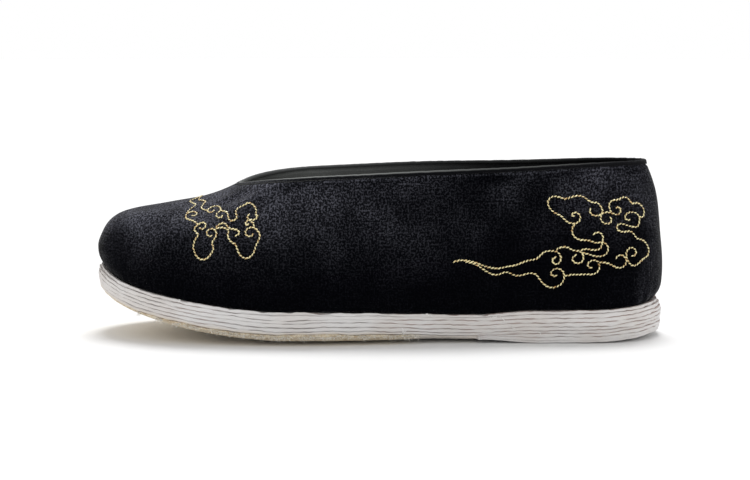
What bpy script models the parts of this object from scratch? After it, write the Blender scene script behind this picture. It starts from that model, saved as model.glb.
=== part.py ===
"""A slip-on cloth shoe on a layered cloth sole, for a left foot.

Metres, +Z up, the floor at z = 0. The toe points to -X and the outer side of the foot faces -Y.
The origin is on the floor, under the middle of the shoe.
"""

import math

import bpy
import numpy as np

# Overall sizes
SHOE_LENGTH = 0.275
BALL_WIDTH = 0.0980
HEEL_WIDTH = 0.0680
BACK_HEIGHT = 0.0845
THROAT_HEIGHT = 0.0735
THROAT_BEHIND_TOE = 0.0700
MOUTH_WIDTH = 0.0705
COLLAR_LEAN = 0.0085

# Sole
PLY_COUNT = 6
PLY_PITCH = 0.00180
HEEL_PLY_COUNT = 3
HEEL_PLY_PITCH = 0.00160
HEEL_PLY_REACH = 0.331
HEEL_PLY_STEP = 0.0012
HEEL_WEDGE_LENGTH = 0.0280
HEEL_WEDGE_FRONT = 0.50
LEATHER_THICKNESS = 0.00250
LEATHER_SKIVE_LENGTH = 0.0600
LEATHER_REAR_THICKNESS = 0.00140
LEATHER_TOE_THICKNESS = 0.00150
TOE_SPRING = 0.0218
TOE_ROUND_LENGTH = 0.0560
HEEL_ROUND_LENGTH = 0.0350
EDGE_LIFT = 0.0032
PLY_EDGE_ROUND = 0.00045
EDGE_TAPER = 0.00160

# Upper
UPPER_WALL = 0.00200
FEATHER_INSET = 0.00200
SIDE_BULGE = 0.00330
RIM_RECESS = 0.00060
BINDING_WIDTH = 0.00240
BINDING_THICKNESS = 0.00050
INSOLE_THICKNESS = 0.00300

# Clearance between neighbouring pieces
GAP = 0.00030

# Mesh fineness
STEPS_A_SIDE = 28

# The sole's plan, from the back of the heel to the toe tip. The half width and the sideways
# shift of its middle are shares of half the ball width.
PLAN = (
    # along  half_width  shift
    (0.00, 0.690, -0.092),
    (0.12, 0.700, -0.092),
    (0.25, 0.700, -0.088),
    (0.38, 0.740, -0.080),
    (0.50, 0.855, -0.055),
    (0.60, 0.960, -0.028),
    (0.68, 0.995, 0.000),
    (0.76, 0.975, 0.028),
    (0.85, 0.920, 0.058),
    (1.00, 0.880, 0.090),
)

# The ply stack from the back of the heel to the toe tip: the height of its underside on the
# centre line (0 over the leather's full thickness, 1 over the heel plies), the toe spring as
# a share of TOE_SPRING, how far the rim curls up as a share of EDGE_LIFT, and how thick the
# plies are as a share of PLY_PITCH.
STACK = (
    # along  base  spring  edge_lift  ply
    (0.00, 2.12, 0.000, 0.25, 1.00),
    (0.03, 1.74, 0.000, 0.30, 1.00),
    (0.06, 1.33, 0.000, 0.26, 1.00),
    (0.10, 1.07, 0.000, 0.16, 1.00),
    (0.14, 1.00, 0.000, 0.08, 1.00),
    (0.24, 1.00, 0.000, 0.00, 0.99),
    (0.285, 0.70, 0.000, 0.10, 0.95),
    (0.33, 0.26, 0.000, 0.28, 0.91),
    (0.40, 0.05, 0.000, 0.62, 0.90),
    (0.48, 0.00, 0.000, 0.86, 0.92),
    (0.55, 0.00, 0.000, 0.95, 0.96),
    (0.64, 0.00, 0.000, 1.00, 1.00),
    (0.66, 0.00, 0.000, 0.98, 1.00),
    (0.72, 0.00, 0.055, 0.80, 1.00),
    (0.80, 0.00, 0.195, 0.60, 1.00),
    (0.89, 0.00, 0.430, 0.32, 0.99),
    (0.945, 0.00, 0.625, 0.16, 0.98),
    (0.98, 0.00, 0.830, 0.05, 0.97),
    (1.00, 0.00, 1.000, 0.00, 0.96),
)

# Inset of each layer's rim from the widest one, as a share of EDGE_TAPER, from the top down
PLY_TAPER = (0.44, 0.12, 0.00, 0.00, 0.19, 0.50)
HEEL_PLY_TAPER = (0.38, 0.62, 1.00)
LEATHER_TAPER = 1.12

# Crosswise stations of every sole layer, as shares of its half width, and the part of the
# rim's lift that each has. The middle strip stays flat.
CROSSWISE = (
    # across  lift
    (-1.00, 1.00),
    (-0.78, 0.34),
    (-0.50, 0.00),
    (0.50, 0.00),
    (0.78, 0.34),
    (1.00, 1.00),
)

# The collar, from the back of the heel to the throat: which point of the collar stands over
# each point of the sole, its half width as a share of half the mouth, and its height as a
# share of the rise from throat to back.
COLLAR = (
    # sole_along  collar_along  half_width  height
    (0.00, 0.000, 0.46, 1.00),
    (0.08, 0.065, 0.465, 0.98),
    (0.15, 0.160, 0.53, 0.94),
    (0.30, 0.365, 0.755, 0.84),
    (0.45, 0.560, 0.95, 0.73),
    (0.58, 0.715, 1.00, 0.60),
    (0.70, 0.835, 1.01, 0.48),
    (0.80, 0.910, 1.02, 0.36),
    (0.90, 0.968, 1.02, 0.18),
    (1.00, 1.000, 1.00, 0.00),
)
COLLAR_HEEL_ROUND = 0.16
COLLAR_THROAT_ROUND = 0.17

# The wall's profile from the feather line to the collar, at the toe, the side and the heel:
# how far in and how far up it has gone, as shares of the way to the collar. At the side and
# the heel, "out" is the bulge as a share of SIDE_BULGE instead.
PROFILE = (
    # toe_in  toe_up  side_in  side_up  side_out  heel_in  heel_up  heel_out
    (0.000, 0.000, 0.000, 0.000, 0.00, 0.000, 0.000, 0.00),
    (-0.026, 0.110, 0.000, 0.060, 0.48, 0.000, 0.060, 0.36),
    (-0.028, 0.240, 0.020, 0.145, 0.84, 0.010, 0.150, 0.54),
    (0.002, 0.400, 0.055, 0.255, 1.00, 0.040, 0.270, 0.64),
    (0.052, 0.536, 0.120, 0.380, 0.98, 0.110, 0.400, 0.70),
    (0.134, 0.630, 0.215, 0.505, 0.84, 0.220, 0.530, 0.68),
    (0.258, 0.686, 0.340, 0.625, 0.62, 0.360, 0.650, 0.60),
    (0.430, 0.730, 0.490, 0.735, 0.40, 0.520, 0.760, 0.48),
    (0.620, 0.782, 0.655, 0.832, 0.20, 0.690, 0.858, 0.28),
    (0.810, 0.862, 0.830, 0.920, 0.06, 0.850, 0.935, 0.08),
    (1.000, 1.000, 1.000, 1.000, 0.00, 1.000, 1.000, 0.00),
)
TOE_PROFILE_FROM = 0.60
HEEL_PROFILE_TO = 0.22

HALF_LENGTH = SHOE_LENGTH / 2
HALF_BALL = BALL_WIDTH / 2
HEEL_SHARE = HEEL_WIDTH / BALL_WIDTH / PLAN[1][1]
N_AROUND = 2 * STEPS_A_SIDE


def read_table(table, column, at):
    """Smooth reading of one column of a table whose first column is the place."""
    places = np.array([row[0] for row in table])
    values = np.array([row[column] for row in table])
    chords = np.diff(values) / np.diff(places)
    slopes = np.empty_like(values)
    slopes[0] = chords[0]
    slopes[-1] = chords[-1]
    for i in range(1, len(values) - 1):
        before, after = chords[i - 1], chords[i]
        slopes[i] = 0.0 if before * after <= 0 else 2 * before * after / (before + after)
    i = int(np.clip(np.searchsorted(places, at, side="right") - 1, 0, len(places) - 2))
    span = places[i + 1] - places[i]
    s = min(max((at - places[i]) / span, 0.0), 1.0)
    return (
        values[i] * (1 + 2 * s) * (1 - s) ** 2
        + values[i + 1] * s * s * (3 - 2 * s)
        + span * slopes[i] * s * (1 - s) ** 2
        + span * slopes[i + 1] * s * s * (s - 1)
    )


def ease(low, high, value):
    """Rises smoothly from 0 at low to 1 at high."""
    s = min(max((value - low) / (high - low), 0.0), 1.0)
    return s * s * (3 - 2 * s)


def end_round(distance, length):
    """Closes an outline with a quarter ellipse over the last stretch of the given length."""
    if distance >= length:
        return 1.0
    return math.sqrt(max(0.0, 1.0 - (1.0 - distance / length) ** 2))


def along_at(index):
    """Share of the way from heel to toe at a point of the outline, closer together at the ends."""
    return (1 - math.cos(math.pi * index / STEPS_A_SIDE)) / 2


def plan_half_width(along):
    """Half width of the sole, with its two round ends."""
    share = read_table(PLAN, 1, along)
    share *= 1 + (HEEL_SHARE - 1) * (1 - ease(0.25, 0.55, along))
    ends = end_round(along * SHOE_LENGTH, HEEL_ROUND_LENGTH)
    ends *= end_round((1 - along) * SHOE_LENGTH, TOE_ROUND_LENGTH)
    return share * HALF_BALL * ends


def plan_shift(along):
    """Sideways place of the middle of the sole, which gives the shoe its foot."""
    return read_table(PLAN, 2, along) * HALF_BALL


def side_and_along(k):
    """Side (-1 outer, +1 inner) and share along for point k of a loop that runs heel, outer, toe, inner."""
    k %= N_AROUND
    if k <= STEPS_A_SIDE:
        return -1, along_at(k)
    return 1, along_at(N_AROUND - k)


def outline(inset=0.0):
    """The sole's plan outline, moved inwards by inset, as an array of x and y."""
    points = []
    for k in range(N_AROUND):
        side, along = side_and_along(k)
        x = HALF_LENGTH - along * SHOE_LENGTH
        points.append((x, plan_shift(along) + side * plan_half_width(along)))
    points = np.array(points)
    tangents = np.roll(points, -1, axis=0) - np.roll(points, 1, axis=0)
    tangents /= np.linalg.norm(tangents, axis=1)[:, None]
    inward = np.column_stack((tangents[:, 1], -tangents[:, 0]))
    inward *= np.sign(((0.0, 0.0) - points)[N_AROUND // 4] @ inward[N_AROUND // 4])
    return points + inward * inset


def along_of(x):
    """Share of the way from heel to toe at an x."""
    return (HALF_LENGTH - x) / SHOE_LENGTH


def lift_share(across):
    """The part of the rim's curl at a share of the half width, straight between the stations."""
    return float(np.interp(abs(across), [row[0] for row in CROSSWISE[3:]], [row[1] for row in CROSSWISE[3:]]))


def stack_base(along, across):
    """Height of the ply stack's underside."""
    heel_height = HEEL_PLY_COUNT * HEEL_PLY_PITCH - GAP / 2
    height = LEATHER_THICKNESS + GAP / 2
    height += read_table(STACK, 1, along) * (heel_height - height)
    height += read_table(STACK, 2, along) * TOE_SPRING
    height += read_table(STACK, 3, along) * EDGE_LIFT * lift_share(across)
    return height


def ply_pitch(along):
    """Thickness of one ply with its share of the clearance."""
    return read_table(STACK, 4, along) * PLY_PITCH


def stack_top(along, across):
    """Height of the top of the ply stack."""
    return stack_base(along, across) + PLY_COUNT * ply_pitch(along)


def heel_pitch(along):
    """Thickness of one heel ply with its share of the clearance, thinner towards its front."""
    wedge = HEEL_WEDGE_LENGTH / SHOE_LENGTH
    full = 1 - ease(HEEL_PLY_REACH - wedge, HEEL_PLY_REACH, along)
    return HEEL_PLY_PITCH * (HEEL_WEDGE_FRONT + (1 - HEEL_WEDGE_FRONT) * full)


def across_of(x, y):
    """Share of the sole's half width at a point of the plan."""
    along = min(max(along_of(x), 0.0), 1.0)
    half = plan_half_width(along)
    if half < 1e-6:
        return 0.0
    return min(max((y - plan_shift(along)) / half, -1.0), 1.0)


def top_height_at(x, y):
    """Height of the top of the ply stack over a point of the plan."""
    return stack_top(min(max(along_of(x), 0.0), 1.0), across_of(x, y))


def skin_rings(rings, closed_around=True):
    """Faces between neighbouring rings of points, and from the last ring to the first."""
    count = len(rings[0])
    vertices = [tuple(point) for ring in rings for point in ring]
    faces = []
    for r in range(len(rings) if closed_around else len(rings) - 1):
        low = r * count
        high = (r + 1) % len(rings) * count
        for k in range(count):
            nxt = (k + 1) % count
            faces.append((low + k, low + nxt, high + nxt, high + k))
    return vertices, faces


def add_object(name, vertices, faces, material, sharp_degrees=45):
    """A mesh object with its normals turned outwards and its round faces shaded smooth."""
    mesh = bpy.data.meshes.new(name)
    mesh.from_pydata(vertices, [], faces)
    mesh.validate()
    made = bpy.data.objects.new(name, mesh)
    bpy.context.scene.collection.objects.link(made)
    bpy.context.view_layer.objects.active = made
    made.select_set(True)
    bpy.ops.object.mode_set(mode="EDIT")
    bpy.ops.mesh.select_all(action="SELECT")
    bpy.ops.mesh.remove_doubles(threshold=1e-6)
    bpy.ops.mesh.normals_make_consistent(inside=False)
    bpy.ops.object.mode_set(mode="OBJECT")
    made.select_set(False)
    mesh.shade_smooth()
    mesh.set_sharp_from_angle(angle=math.radians(sharp_degrees))
    mesh.materials.append(material)
    return made


def cloth_material(name, colour, roughness):
    """A plain dielectric material."""
    material = bpy.data.materials.new(name)
    material.use_nodes = True
    shader = material.node_tree.nodes["Principled BSDF"]
    shader.inputs["Base Color"].default_value = (*colour, 1.0)
    shader.inputs["Roughness"].default_value = roughness
    shader.inputs["Metallic"].default_value = 0.0
    return material


def layer_mesh(inset, base, thickness, start=0.0, end=1.0, edge_round=PLY_EDGE_ROUND):
    """One layer of the sole: a plate of the sole's plan between two shares along.

    base(along, across) is its underside, and thickness(along) its thickness. Its rim bulges
    out to the inset, and its two faces stop edge_round short of that.
    """
    whole = [side_and_along(k)[1] for k in range(STEPS_A_SIDE + 1)]
    stations = [along for along in whole if start < along < end]
    if start > 0:
        stations.insert(0, start)
    if end < 1:
        stations.append(end)
    vertices = []
    faces = []

    def add_face_grid(extra_inset, level):
        """A grid of points over the layer, and where each row of it starts."""
        grid = []
        border = outline(inset + extra_inset)
        outer = border[: STEPS_A_SIDE + 1]
        inner = np.vstack((border[0], border[: STEPS_A_SIDE - 1 : -1]))
        if start <= 0:
            grid.append([place(border[0], level)])
        for along in stations:
            low = point_on(outer, along)
            high = point_on(inner, along)
            middle = (low + high) / 2
            half = (high - low) / 2
            grid.append([place(middle + across * half, level) for across, _ in CROSSWISE])
        if end >= 1:
            grid.append([place(border[STEPS_A_SIDE], level)])
        return grid

    def point_on(border, along):
        """The point of one side's border at a share along the sole."""
        wanted = HALF_LENGTH - along * SHOE_LENGTH
        order = np.argsort(border[:, 0])
        x = min(max(wanted, border[:, 0].min()), border[:, 0].max())
        return np.array((x, np.interp(x, border[order, 0], border[order, 1])))

    def place(point, level):
        """Adds the vertex over a point of the plan and returns its number."""
        along = min(max(along_of(point[0]), 0.0), 1.0)
        z = base(along, across_of(*point)) + level * thickness(along)
        vertices.append((point[0], point[1], z))
        return len(vertices) - 1

    bottom = add_face_grid(edge_round, 0.0)
    middle = add_face_grid(0.0, 0.5)
    top = add_face_grid(edge_round, 1.0)
    for grid in (bottom, top):
        for near, far in zip(grid, grid[1:]):
            if len(near) == 1:
                faces += [(near[0], far[j], far[j + 1]) for j in range(len(far) - 1)]
            elif len(far) == 1:
                faces += [(near[j], near[j + 1], far[0]) for j in range(len(near) - 1)]
            else:
                faces += [(near[j], near[j + 1], far[j + 1], far[j]) for j in range(len(near) - 1)]

    def rim(grid):
        """The border of a grid as one loop."""
        first, last = grid[0], grid[-1]
        loop = [row[0] for row in grid[1:-1]]
        loop += last if len(last) > 1 else last[:1]
        loop += [row[-1] for row in reversed(grid[1:-1])]
        loop += list(reversed(first)) if len(first) > 1 else first[:1]
        return loop

    for low, high in ((rim(bottom), rim(middle)), (rim(middle), rim(top))):
        for j in range(len(low)):
            k = (j + 1) % len(low)
            faces.append((low[j], low[k], high[k], high[j]))
    used = sorted({v for face in faces for v in face})
    renumber = {v: i for i, v in enumerate(used)}
    return [vertices[v] for v in used], [tuple(renumber[v] for v in face) for face in faces]


def build_sole(ply_material, leather_material):
    """The ply stack, the heel plies under it and the leather under the forefoot."""
    for i in range(PLY_COUNT):
        below = PLY_COUNT - 1 - i
        vertices, faces = layer_mesh(
            PLY_TAPER[min(i, len(PLY_TAPER) - 1)] * EDGE_TAPER,
            lambda along, across, below=below: (
                stack_base(along, across) + below * ply_pitch(along) + GAP / 2
            ),
            lambda along: ply_pitch(along) - GAP,
        )
        add_object(f"sole_ply_{i + 1}", vertices, faces, ply_material)
    for i in range(HEEL_PLY_COUNT):
        vertices, faces = layer_mesh(
            HEEL_PLY_TAPER[min(i, len(HEEL_PLY_TAPER) - 1)] * EDGE_TAPER,
            lambda along, across, count=i + 1: (
                stack_base(along, across) - count * heel_pitch(along) + GAP / 2
            ),
            lambda along: heel_pitch(along) - GAP,
            end=HEEL_PLY_REACH - i * HEEL_PLY_STEP / SHOE_LENGTH,
        )
        add_object(f"heel_ply_{i + 1}", vertices, faces, ply_material)

    rear = HEEL_PLY_REACH + GAP / SHOE_LENGTH

    def leather_thickness(along):
        """Full under the ball of the foot, skived towards the waist and the toe."""
        rear_full = ease(0.0, LEATHER_SKIVE_LENGTH, (along - rear) * SHOE_LENGTH)
        toe_full = ease(0.0, LEATHER_SKIVE_LENGTH, (1 - along) * SHOE_LENGTH)
        skived = (1 - rear_full) * (LEATHER_THICKNESS - LEATHER_REAR_THICKNESS)
        skived += (1 - toe_full) * (LEATHER_THICKNESS - LEATHER_TOE_THICKNESS)
        return LEATHER_THICKNESS - skived

    vertices, faces = layer_mesh(
        LEATHER_TAPER * EDGE_TAPER,
        lambda along, across: stack_base(along, across) - GAP / 2 - leather_thickness(along),
        leather_thickness,
        start=rear,
    )
    add_object("leather_half_sole", vertices, faces, leather_material)


def build_insole(material):
    """The thin sock lining that lies on the top ply inside the upper."""
    inset = FEATHER_INSET + UPPER_WALL + GAP
    vertices, faces = layer_mesh(
        inset,
        lambda along, across: stack_top(along, across) + GAP / 2,
        lambda along: INSOLE_THICKNESS,
        edge_round=GAP,
    )
    add_object("insole", vertices, faces, material)


def collar_loop():
    """The collar's crown line, a point for each point of the outline."""
    back_x = HALF_LENGTH - COLLAR_LEAN
    throat_x = -HALF_LENGTH + THROAT_BEHIND_TOE
    points = []
    for k in range(N_AROUND):
        side, sole_along = side_and_along(k)
        along = read_table(COLLAR, 1, sole_along)
        half = read_table(COLLAR, 2, sole_along) * MOUTH_WIDTH / 2
        half *= end_round(along, COLLAR_HEEL_ROUND) * end_round(1 - along, COLLAR_THROAT_ROUND)
        height = THROAT_HEIGHT + (BACK_HEIGHT - THROAT_HEIGHT) * read_table(COLLAR, 3, sole_along)
        shift = plan_shift(sole_along) * (1 - 0.4 * along)
        points.append((back_x + along * (throat_x - back_x), shift + side * half, height))
    return np.array(points)


def wall_surface():
    """Rows of points over the upper's outside, from the feather line to the collar's crown."""
    feather = outline(FEATHER_INSET)
    feather = np.array([(x, y, top_height_at(x, y) + GAP / 2) for x, y in feather])
    collar = collar_loop()
    plan = feather[:, :2]
    tangents = np.roll(plan, -1, axis=0) - np.roll(plan, 1, axis=0)
    tangents /= np.linalg.norm(tangents, axis=1)[:, None]
    outward = np.column_stack((-tangents[:, 1], tangents[:, 0]))
    outward *= np.sign(plan[N_AROUND // 4] @ outward[N_AROUND // 4])
    rows = []
    for toe_in, toe_up, side_in, side_up, side_out, heel_in, heel_up, heel_out in PROFILE:
        row = []
        for k in range(N_AROUND):
            _, along = side_and_along(k)
            toe = ease(TOE_PROFILE_FROM, 1.0, along)
            heel = 1 - ease(0.0, HEEL_PROFILE_TO, along)
            side = 1 - toe - heel
            inwards = toe * toe_in + side * side_in + heel * heel_in
            up = toe * toe_up + side * side_up + heel * heel_up
            out = (side * side_out + heel * heel_out) * SIDE_BULGE
            point = feather[k] + (collar[k] - feather[k]) * (inwards, inwards, up)
            row.append(point + np.array((*outward[k], 0.0)) * out)
        rows.append(row)
    return np.array(rows)


def wall_normals(rows):
    """Outward unit normals of the wall's rows of points."""
    around = np.roll(rows, -1, axis=1) - np.roll(rows, 1, axis=1)
    upward = np.gradient(rows, axis=0)
    normals = np.cross(around, upward)
    normals /= np.linalg.norm(normals, axis=2)[:, :, None]
    side = rows[len(rows) // 2, N_AROUND // 4] * (1, 1, 0)
    return normals * np.sign(side @ normals[len(rows) // 2, N_AROUND // 4])


def rim_frame(rows, normals):
    """At the collar: the crown line, the way down the wall and the way out of it."""
    down = rows[-2] - rows[-1]
    down /= np.linalg.norm(down, axis=1)[:, None]
    out = normals[-1] - down * np.sum(normals[-1] * down, axis=1)[:, None]
    out /= np.linalg.norm(out, axis=1)[:, None]
    return rows[-1], down, out


def build_upper(material):
    """The hollow upper: outer skin, a rim thinned for its binding, and the inner skin."""
    rows = wall_surface()
    normals = wall_normals(rows)
    crown, down, out = rim_frame(rows, normals)
    step = BINDING_WIDTH + GAP
    rim_top = BINDING_THICKNESS + GAP

    def rim_ring(depth, below):
        """A ring near the collar, below the crown and inside the outer skin."""
        return crown + down * below - out * depth

    inner_foot = outline(FEATHER_INSET + UPPER_WALL)
    inner_foot = np.array([(x, y, top_height_at(x, y) + GAP / 2) for x, y in inner_foot])
    rings = list(rows[:-1])
    rings.append(rim_ring(0.0, step))
    rings.append(rim_ring(RIM_RECESS, step))
    rings.append(rim_ring(RIM_RECESS, rim_top))
    rings.append(rim_ring(UPPER_WALL - RIM_RECESS, rim_top))
    rings.append(rim_ring(UPPER_WALL - RIM_RECESS, step))
    rings.append(rim_ring(UPPER_WALL, step))
    rings += list((rows - normals * UPPER_WALL)[-2:1:-1])
    rings.append(inner_foot)
    vertices, faces = skin_rings(rings)
    add_object("upper", vertices, faces, material)


def build_binding(material):
    """The bias tape folded over the collar: an inverted channel that runs right round."""
    rows = wall_surface()
    crown, down, out = rim_frame(rows, wall_normals(rows))
    outer_face = RIM_RECESS - GAP - BINDING_THICKNESS
    inner_face = UPPER_WALL - outer_face
    corner = BINDING_THICKNESS
    section = (
        # depth  below
        (outer_face, BINDING_WIDTH),
        (outer_face, corner),
        (outer_face + corner, 0.0),
        (inner_face - corner, 0.0),
        (inner_face, corner),
        (inner_face, BINDING_WIDTH),
        (inner_face - BINDING_THICKNESS, BINDING_WIDTH),
        (inner_face - BINDING_THICKNESS, BINDING_THICKNESS),
        (outer_face + BINDING_THICKNESS, BINDING_THICKNESS),
        (outer_face + BINDING_THICKNESS, BINDING_WIDTH),
    )
    rings = [crown + down * below - out * depth for depth, below in section]
    vertices, faces = skin_rings(rings)
    add_object("collar_binding", vertices, faces, material)


def main():
    for old in list(bpy.data.objects):
        bpy.data.objects.remove(old)
    black_cloth = cloth_material("black_slub_cloth", (0.010, 0.010, 0.012), 0.9)
    binding_cloth = cloth_material("black_binding", (0.018, 0.018, 0.020), 0.8)
    lining_cloth = cloth_material("grey_lining", (0.12, 0.12, 0.115), 0.95)
    white_cotton = cloth_material("white_cotton", (0.62, 0.60, 0.58), 0.95)
    tan_leather = cloth_material("rough_tan_leather", (0.46, 0.38, 0.27), 0.95)
    build_sole(white_cotton, tan_leather)
    build_insole(lining_cloth)
    build_upper(black_cloth)
    build_binding(binding_cloth)


main()
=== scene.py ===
"""The looks of a slip-on cloth shoe with a layered cloth sole, for a left foot.

Metres, +Z up, the floor at z = 0. The toe points to -X and the outer side of the foot faces -Y,
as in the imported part. The pieces that are shown in place of the part's solids keep their form;
the embroidery, the fuzz and the thread ends are laid on them.
"""

import logging
import math
import random
from collections.abc import Callable, Iterable
from dataclasses import dataclass
from enum import Enum
from functools import cache

import bmesh
import bpy
import numpy as np
from mathutils import Matrix, Vector
from mathutils.bvhtree import BVHTree


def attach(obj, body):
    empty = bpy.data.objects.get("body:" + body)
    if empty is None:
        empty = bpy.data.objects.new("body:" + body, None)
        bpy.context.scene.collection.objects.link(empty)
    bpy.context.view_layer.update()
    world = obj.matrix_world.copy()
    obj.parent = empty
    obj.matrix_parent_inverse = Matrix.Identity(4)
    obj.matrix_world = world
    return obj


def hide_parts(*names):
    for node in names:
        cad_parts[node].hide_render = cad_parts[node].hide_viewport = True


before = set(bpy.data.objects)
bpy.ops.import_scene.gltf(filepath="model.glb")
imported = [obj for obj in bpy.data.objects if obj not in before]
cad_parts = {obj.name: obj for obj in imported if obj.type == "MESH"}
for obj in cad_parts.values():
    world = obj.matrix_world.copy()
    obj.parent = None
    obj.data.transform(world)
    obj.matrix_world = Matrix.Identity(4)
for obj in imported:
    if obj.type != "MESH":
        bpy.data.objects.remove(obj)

LOG = logging.getLogger("cloth_shoe")
MM = 0.001
BODY = "root"


class Slot(Enum):
    """The record's material slots."""

    UPPER = "upper_cloth"
    BINDING = "binding_cloth"
    LINING = "insole_cloth"
    SOLE = "sole_cloth"
    LEATHER = "half_sole_leather"


class Side(Enum):
    """The two sides of the shoe, with the sign of y that each has."""

    OUTER = -1
    INNER = 1


def ease(low: float, high: float, value: np.ndarray) -> np.ndarray:
    """Rises smoothly from 0 at low to 1 at high.

    Args:
        low: where the rise starts.
        high: where it ends.
        value: the places to read it at.

    Returns:
        The share at each place.
    """
    share = np.clip((np.asarray(value, float) - low) / (high - low), 0.0, 1.0)
    return share * share * (3 - 2 * share)


def end_round(distance: np.ndarray, length: float) -> np.ndarray:
    """Closes an outline with a quarter ellipse.

    Args:
        distance: how far each place is from the end.
        length: over how much of the end the ellipse runs.

    Returns:
        The share of the full width at each place.
    """
    left = 1.0 - np.clip(distance / length, 0.0, 1.0)
    return np.sqrt(np.clip(1.0 - left**2, 0.0, 1.0))


def unit(rows: np.ndarray) -> np.ndarray:
    """The same directions with a length of 1."""
    return rows / np.linalg.norm(rows, axis=1)[:, None]


def walk(points: np.ndarray) -> np.ndarray:
    """How far along a line each of its points is."""
    return np.concatenate(((0.0,), np.cumsum(np.linalg.norm(np.diff(points, axis=0), axis=1))))


def resample(points: np.ndarray, known: np.ndarray, wanted: np.ndarray) -> np.ndarray:
    """Reads a line, whose points are at the known places, at the wanted ones."""
    return np.column_stack([np.interp(wanted, known, values) for values in points.T])


@dataclass(frozen=True)
class Curve:
    """A smooth line through rows of listed values, whose first column is the place."""

    rows: tuple[tuple[float, ...], ...]

    def read(self, column: int, at: np.ndarray) -> np.ndarray:
        """Reads one column, without overshoot between its rows.

        Args:
            column: the column's number.
            at: the places to read it at.

        Returns:
            The value at each place.
        """
        at = np.asarray(at, float)
        places = np.array([row[0] for row in self.rows])
        values = np.array([row[column] for row in self.rows])
        chords = np.diff(values) / np.diff(places)
        slopes = np.empty_like(values)
        slopes[0], slopes[-1] = chords[0], chords[-1]
        product, total = chords[:-1] * chords[1:], chords[:-1] + chords[1:]
        slopes[1:-1] = np.where(product > 0, 2 * product / np.where(total == 0, 1.0, total), 0.0)
        i = np.clip(np.searchsorted(places, at, side="right") - 1, 0, len(places) - 2)
        span = places[i + 1] - places[i]
        s = np.clip((at - places[i]) / span, 0.0, 1.0)
        return (
            values[i] * (1 + 2 * s) * (1 - s) ** 2
            + values[i + 1] * s * s * (3 - 2 * s)
            + span * slopes[i] * s * (1 - s) ** 2
            + span * slopes[i + 1] * s * s * (s - 1)
        )


# The sole's plan from heel to toe, as shares of half the ball width
PLAN = Curve((
    # along  half_width  shift
    (0.00, 0.690, -0.092),
    (0.12, 0.700, -0.092),
    (0.25, 0.700, -0.088),
    (0.38, 0.740, -0.080),
    (0.50, 0.855, -0.055),
    (0.60, 0.960, -0.028),
    (0.68, 0.995, 0.000),
    (0.76, 0.975, 0.028),
    (0.85, 0.920, 0.058),
    (1.00, 0.880, 0.090),
))

# The ply stack from heel to toe: underside, toe spring, curl of the rim, thickness of a ply
STACK = Curve((
    # along  base  spring  edge_lift  ply
    (0.00, 2.12, 0.000, 0.25, 1.00),
    (0.03, 1.74, 0.000, 0.30, 1.00),
    (0.06, 1.33, 0.000, 0.26, 1.00),
    (0.10, 1.07, 0.000, 0.16, 1.00),
    (0.14, 1.00, 0.000, 0.08, 1.00),
    (0.24, 1.00, 0.000, 0.00, 0.99),
    (0.285, 0.70, 0.000, 0.10, 0.95),
    (0.33, 0.26, 0.000, 0.28, 0.91),
    (0.40, 0.05, 0.000, 0.62, 0.90),
    (0.48, 0.00, 0.000, 0.86, 0.92),
    (0.55, 0.00, 0.000, 0.95, 0.96),
    (0.64, 0.00, 0.000, 1.00, 1.00),
    (0.66, 0.00, 0.000, 0.98, 1.00),
    (0.72, 0.00, 0.055, 0.80, 1.00),
    (0.80, 0.00, 0.195, 0.60, 1.00),
    (0.89, 0.00, 0.430, 0.32, 0.99),
    (0.945, 0.00, 0.625, 0.16, 0.98),
    (0.98, 0.00, 0.830, 0.05, 0.97),
    (1.00, 0.00, 1.000, 0.00, 0.96),
))

# How much of the rim's curl each share of the half width has
CURL = Curve(((0.50, 0.00), (0.78, 0.34), (1.00, 1.00)))

# The collar from the back of the heel to the throat
COLLAR = Curve((
    # sole_along  collar_along  half_width  height
    (0.00, 0.000, 0.46, 1.00),
    (0.08, 0.065, 0.465, 0.98),
    (0.15, 0.160, 0.53, 0.94),
    (0.30, 0.365, 0.755, 0.84),
    (0.45, 0.560, 0.95, 0.73),
    (0.58, 0.715, 1.00, 0.60),
    (0.70, 0.835, 1.01, 0.48),
    (0.80, 0.910, 1.02, 0.36),
    (0.90, 0.968, 1.02, 0.18),
    (1.00, 1.000, 1.00, 0.00),
))

# The wall from the feather line (0) to the collar (1), at the toe, the side and the heel
PROFILE = Curve((
    # rise  toe_in  toe_up  side_in  side_up  side_out  heel_in  heel_up  heel_out
    (0.0, 0.000, 0.000, 0.000, 0.000, 0.00, 0.000, 0.000, 0.00),
    (0.1, -0.026, 0.110, 0.000, 0.060, 0.48, 0.000, 0.060, 0.36),
    (0.2, -0.028, 0.240, 0.020, 0.145, 0.84, 0.010, 0.150, 0.54),
    (0.3, 0.002, 0.400, 0.055, 0.255, 1.00, 0.040, 0.270, 0.64),
    (0.4, 0.052, 0.536, 0.120, 0.380, 0.98, 0.110, 0.400, 0.70),
    (0.5, 0.134, 0.630, 0.215, 0.505, 0.84, 0.220, 0.530, 0.68),
    (0.6, 0.258, 0.686, 0.340, 0.625, 0.62, 0.360, 0.650, 0.60),
    (0.7, 0.430, 0.730, 0.490, 0.735, 0.40, 0.520, 0.760, 0.48),
    (0.8, 0.620, 0.782, 0.655, 0.832, 0.20, 0.690, 0.858, 0.28),
    (0.9, 0.810, 0.862, 0.830, 0.920, 0.06, 0.850, 0.935, 0.08),
    (1.0, 1.000, 1.000, 1.000, 1.000, 0.00, 1.000, 1.000, 0.00),
))


def heel_share(along: np.ndarray) -> np.ndarray:
    """How near the back of the heel a place is: 1 on it, 0 where the sides start."""
    return 1 - ease(0.0, 0.055, along)


def toe_share(along: np.ndarray) -> np.ndarray:
    """How near the tip of the toe a place is: 1 on it, 0 where the sides start."""
    return ease(0.90, 1.0, along)


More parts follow.
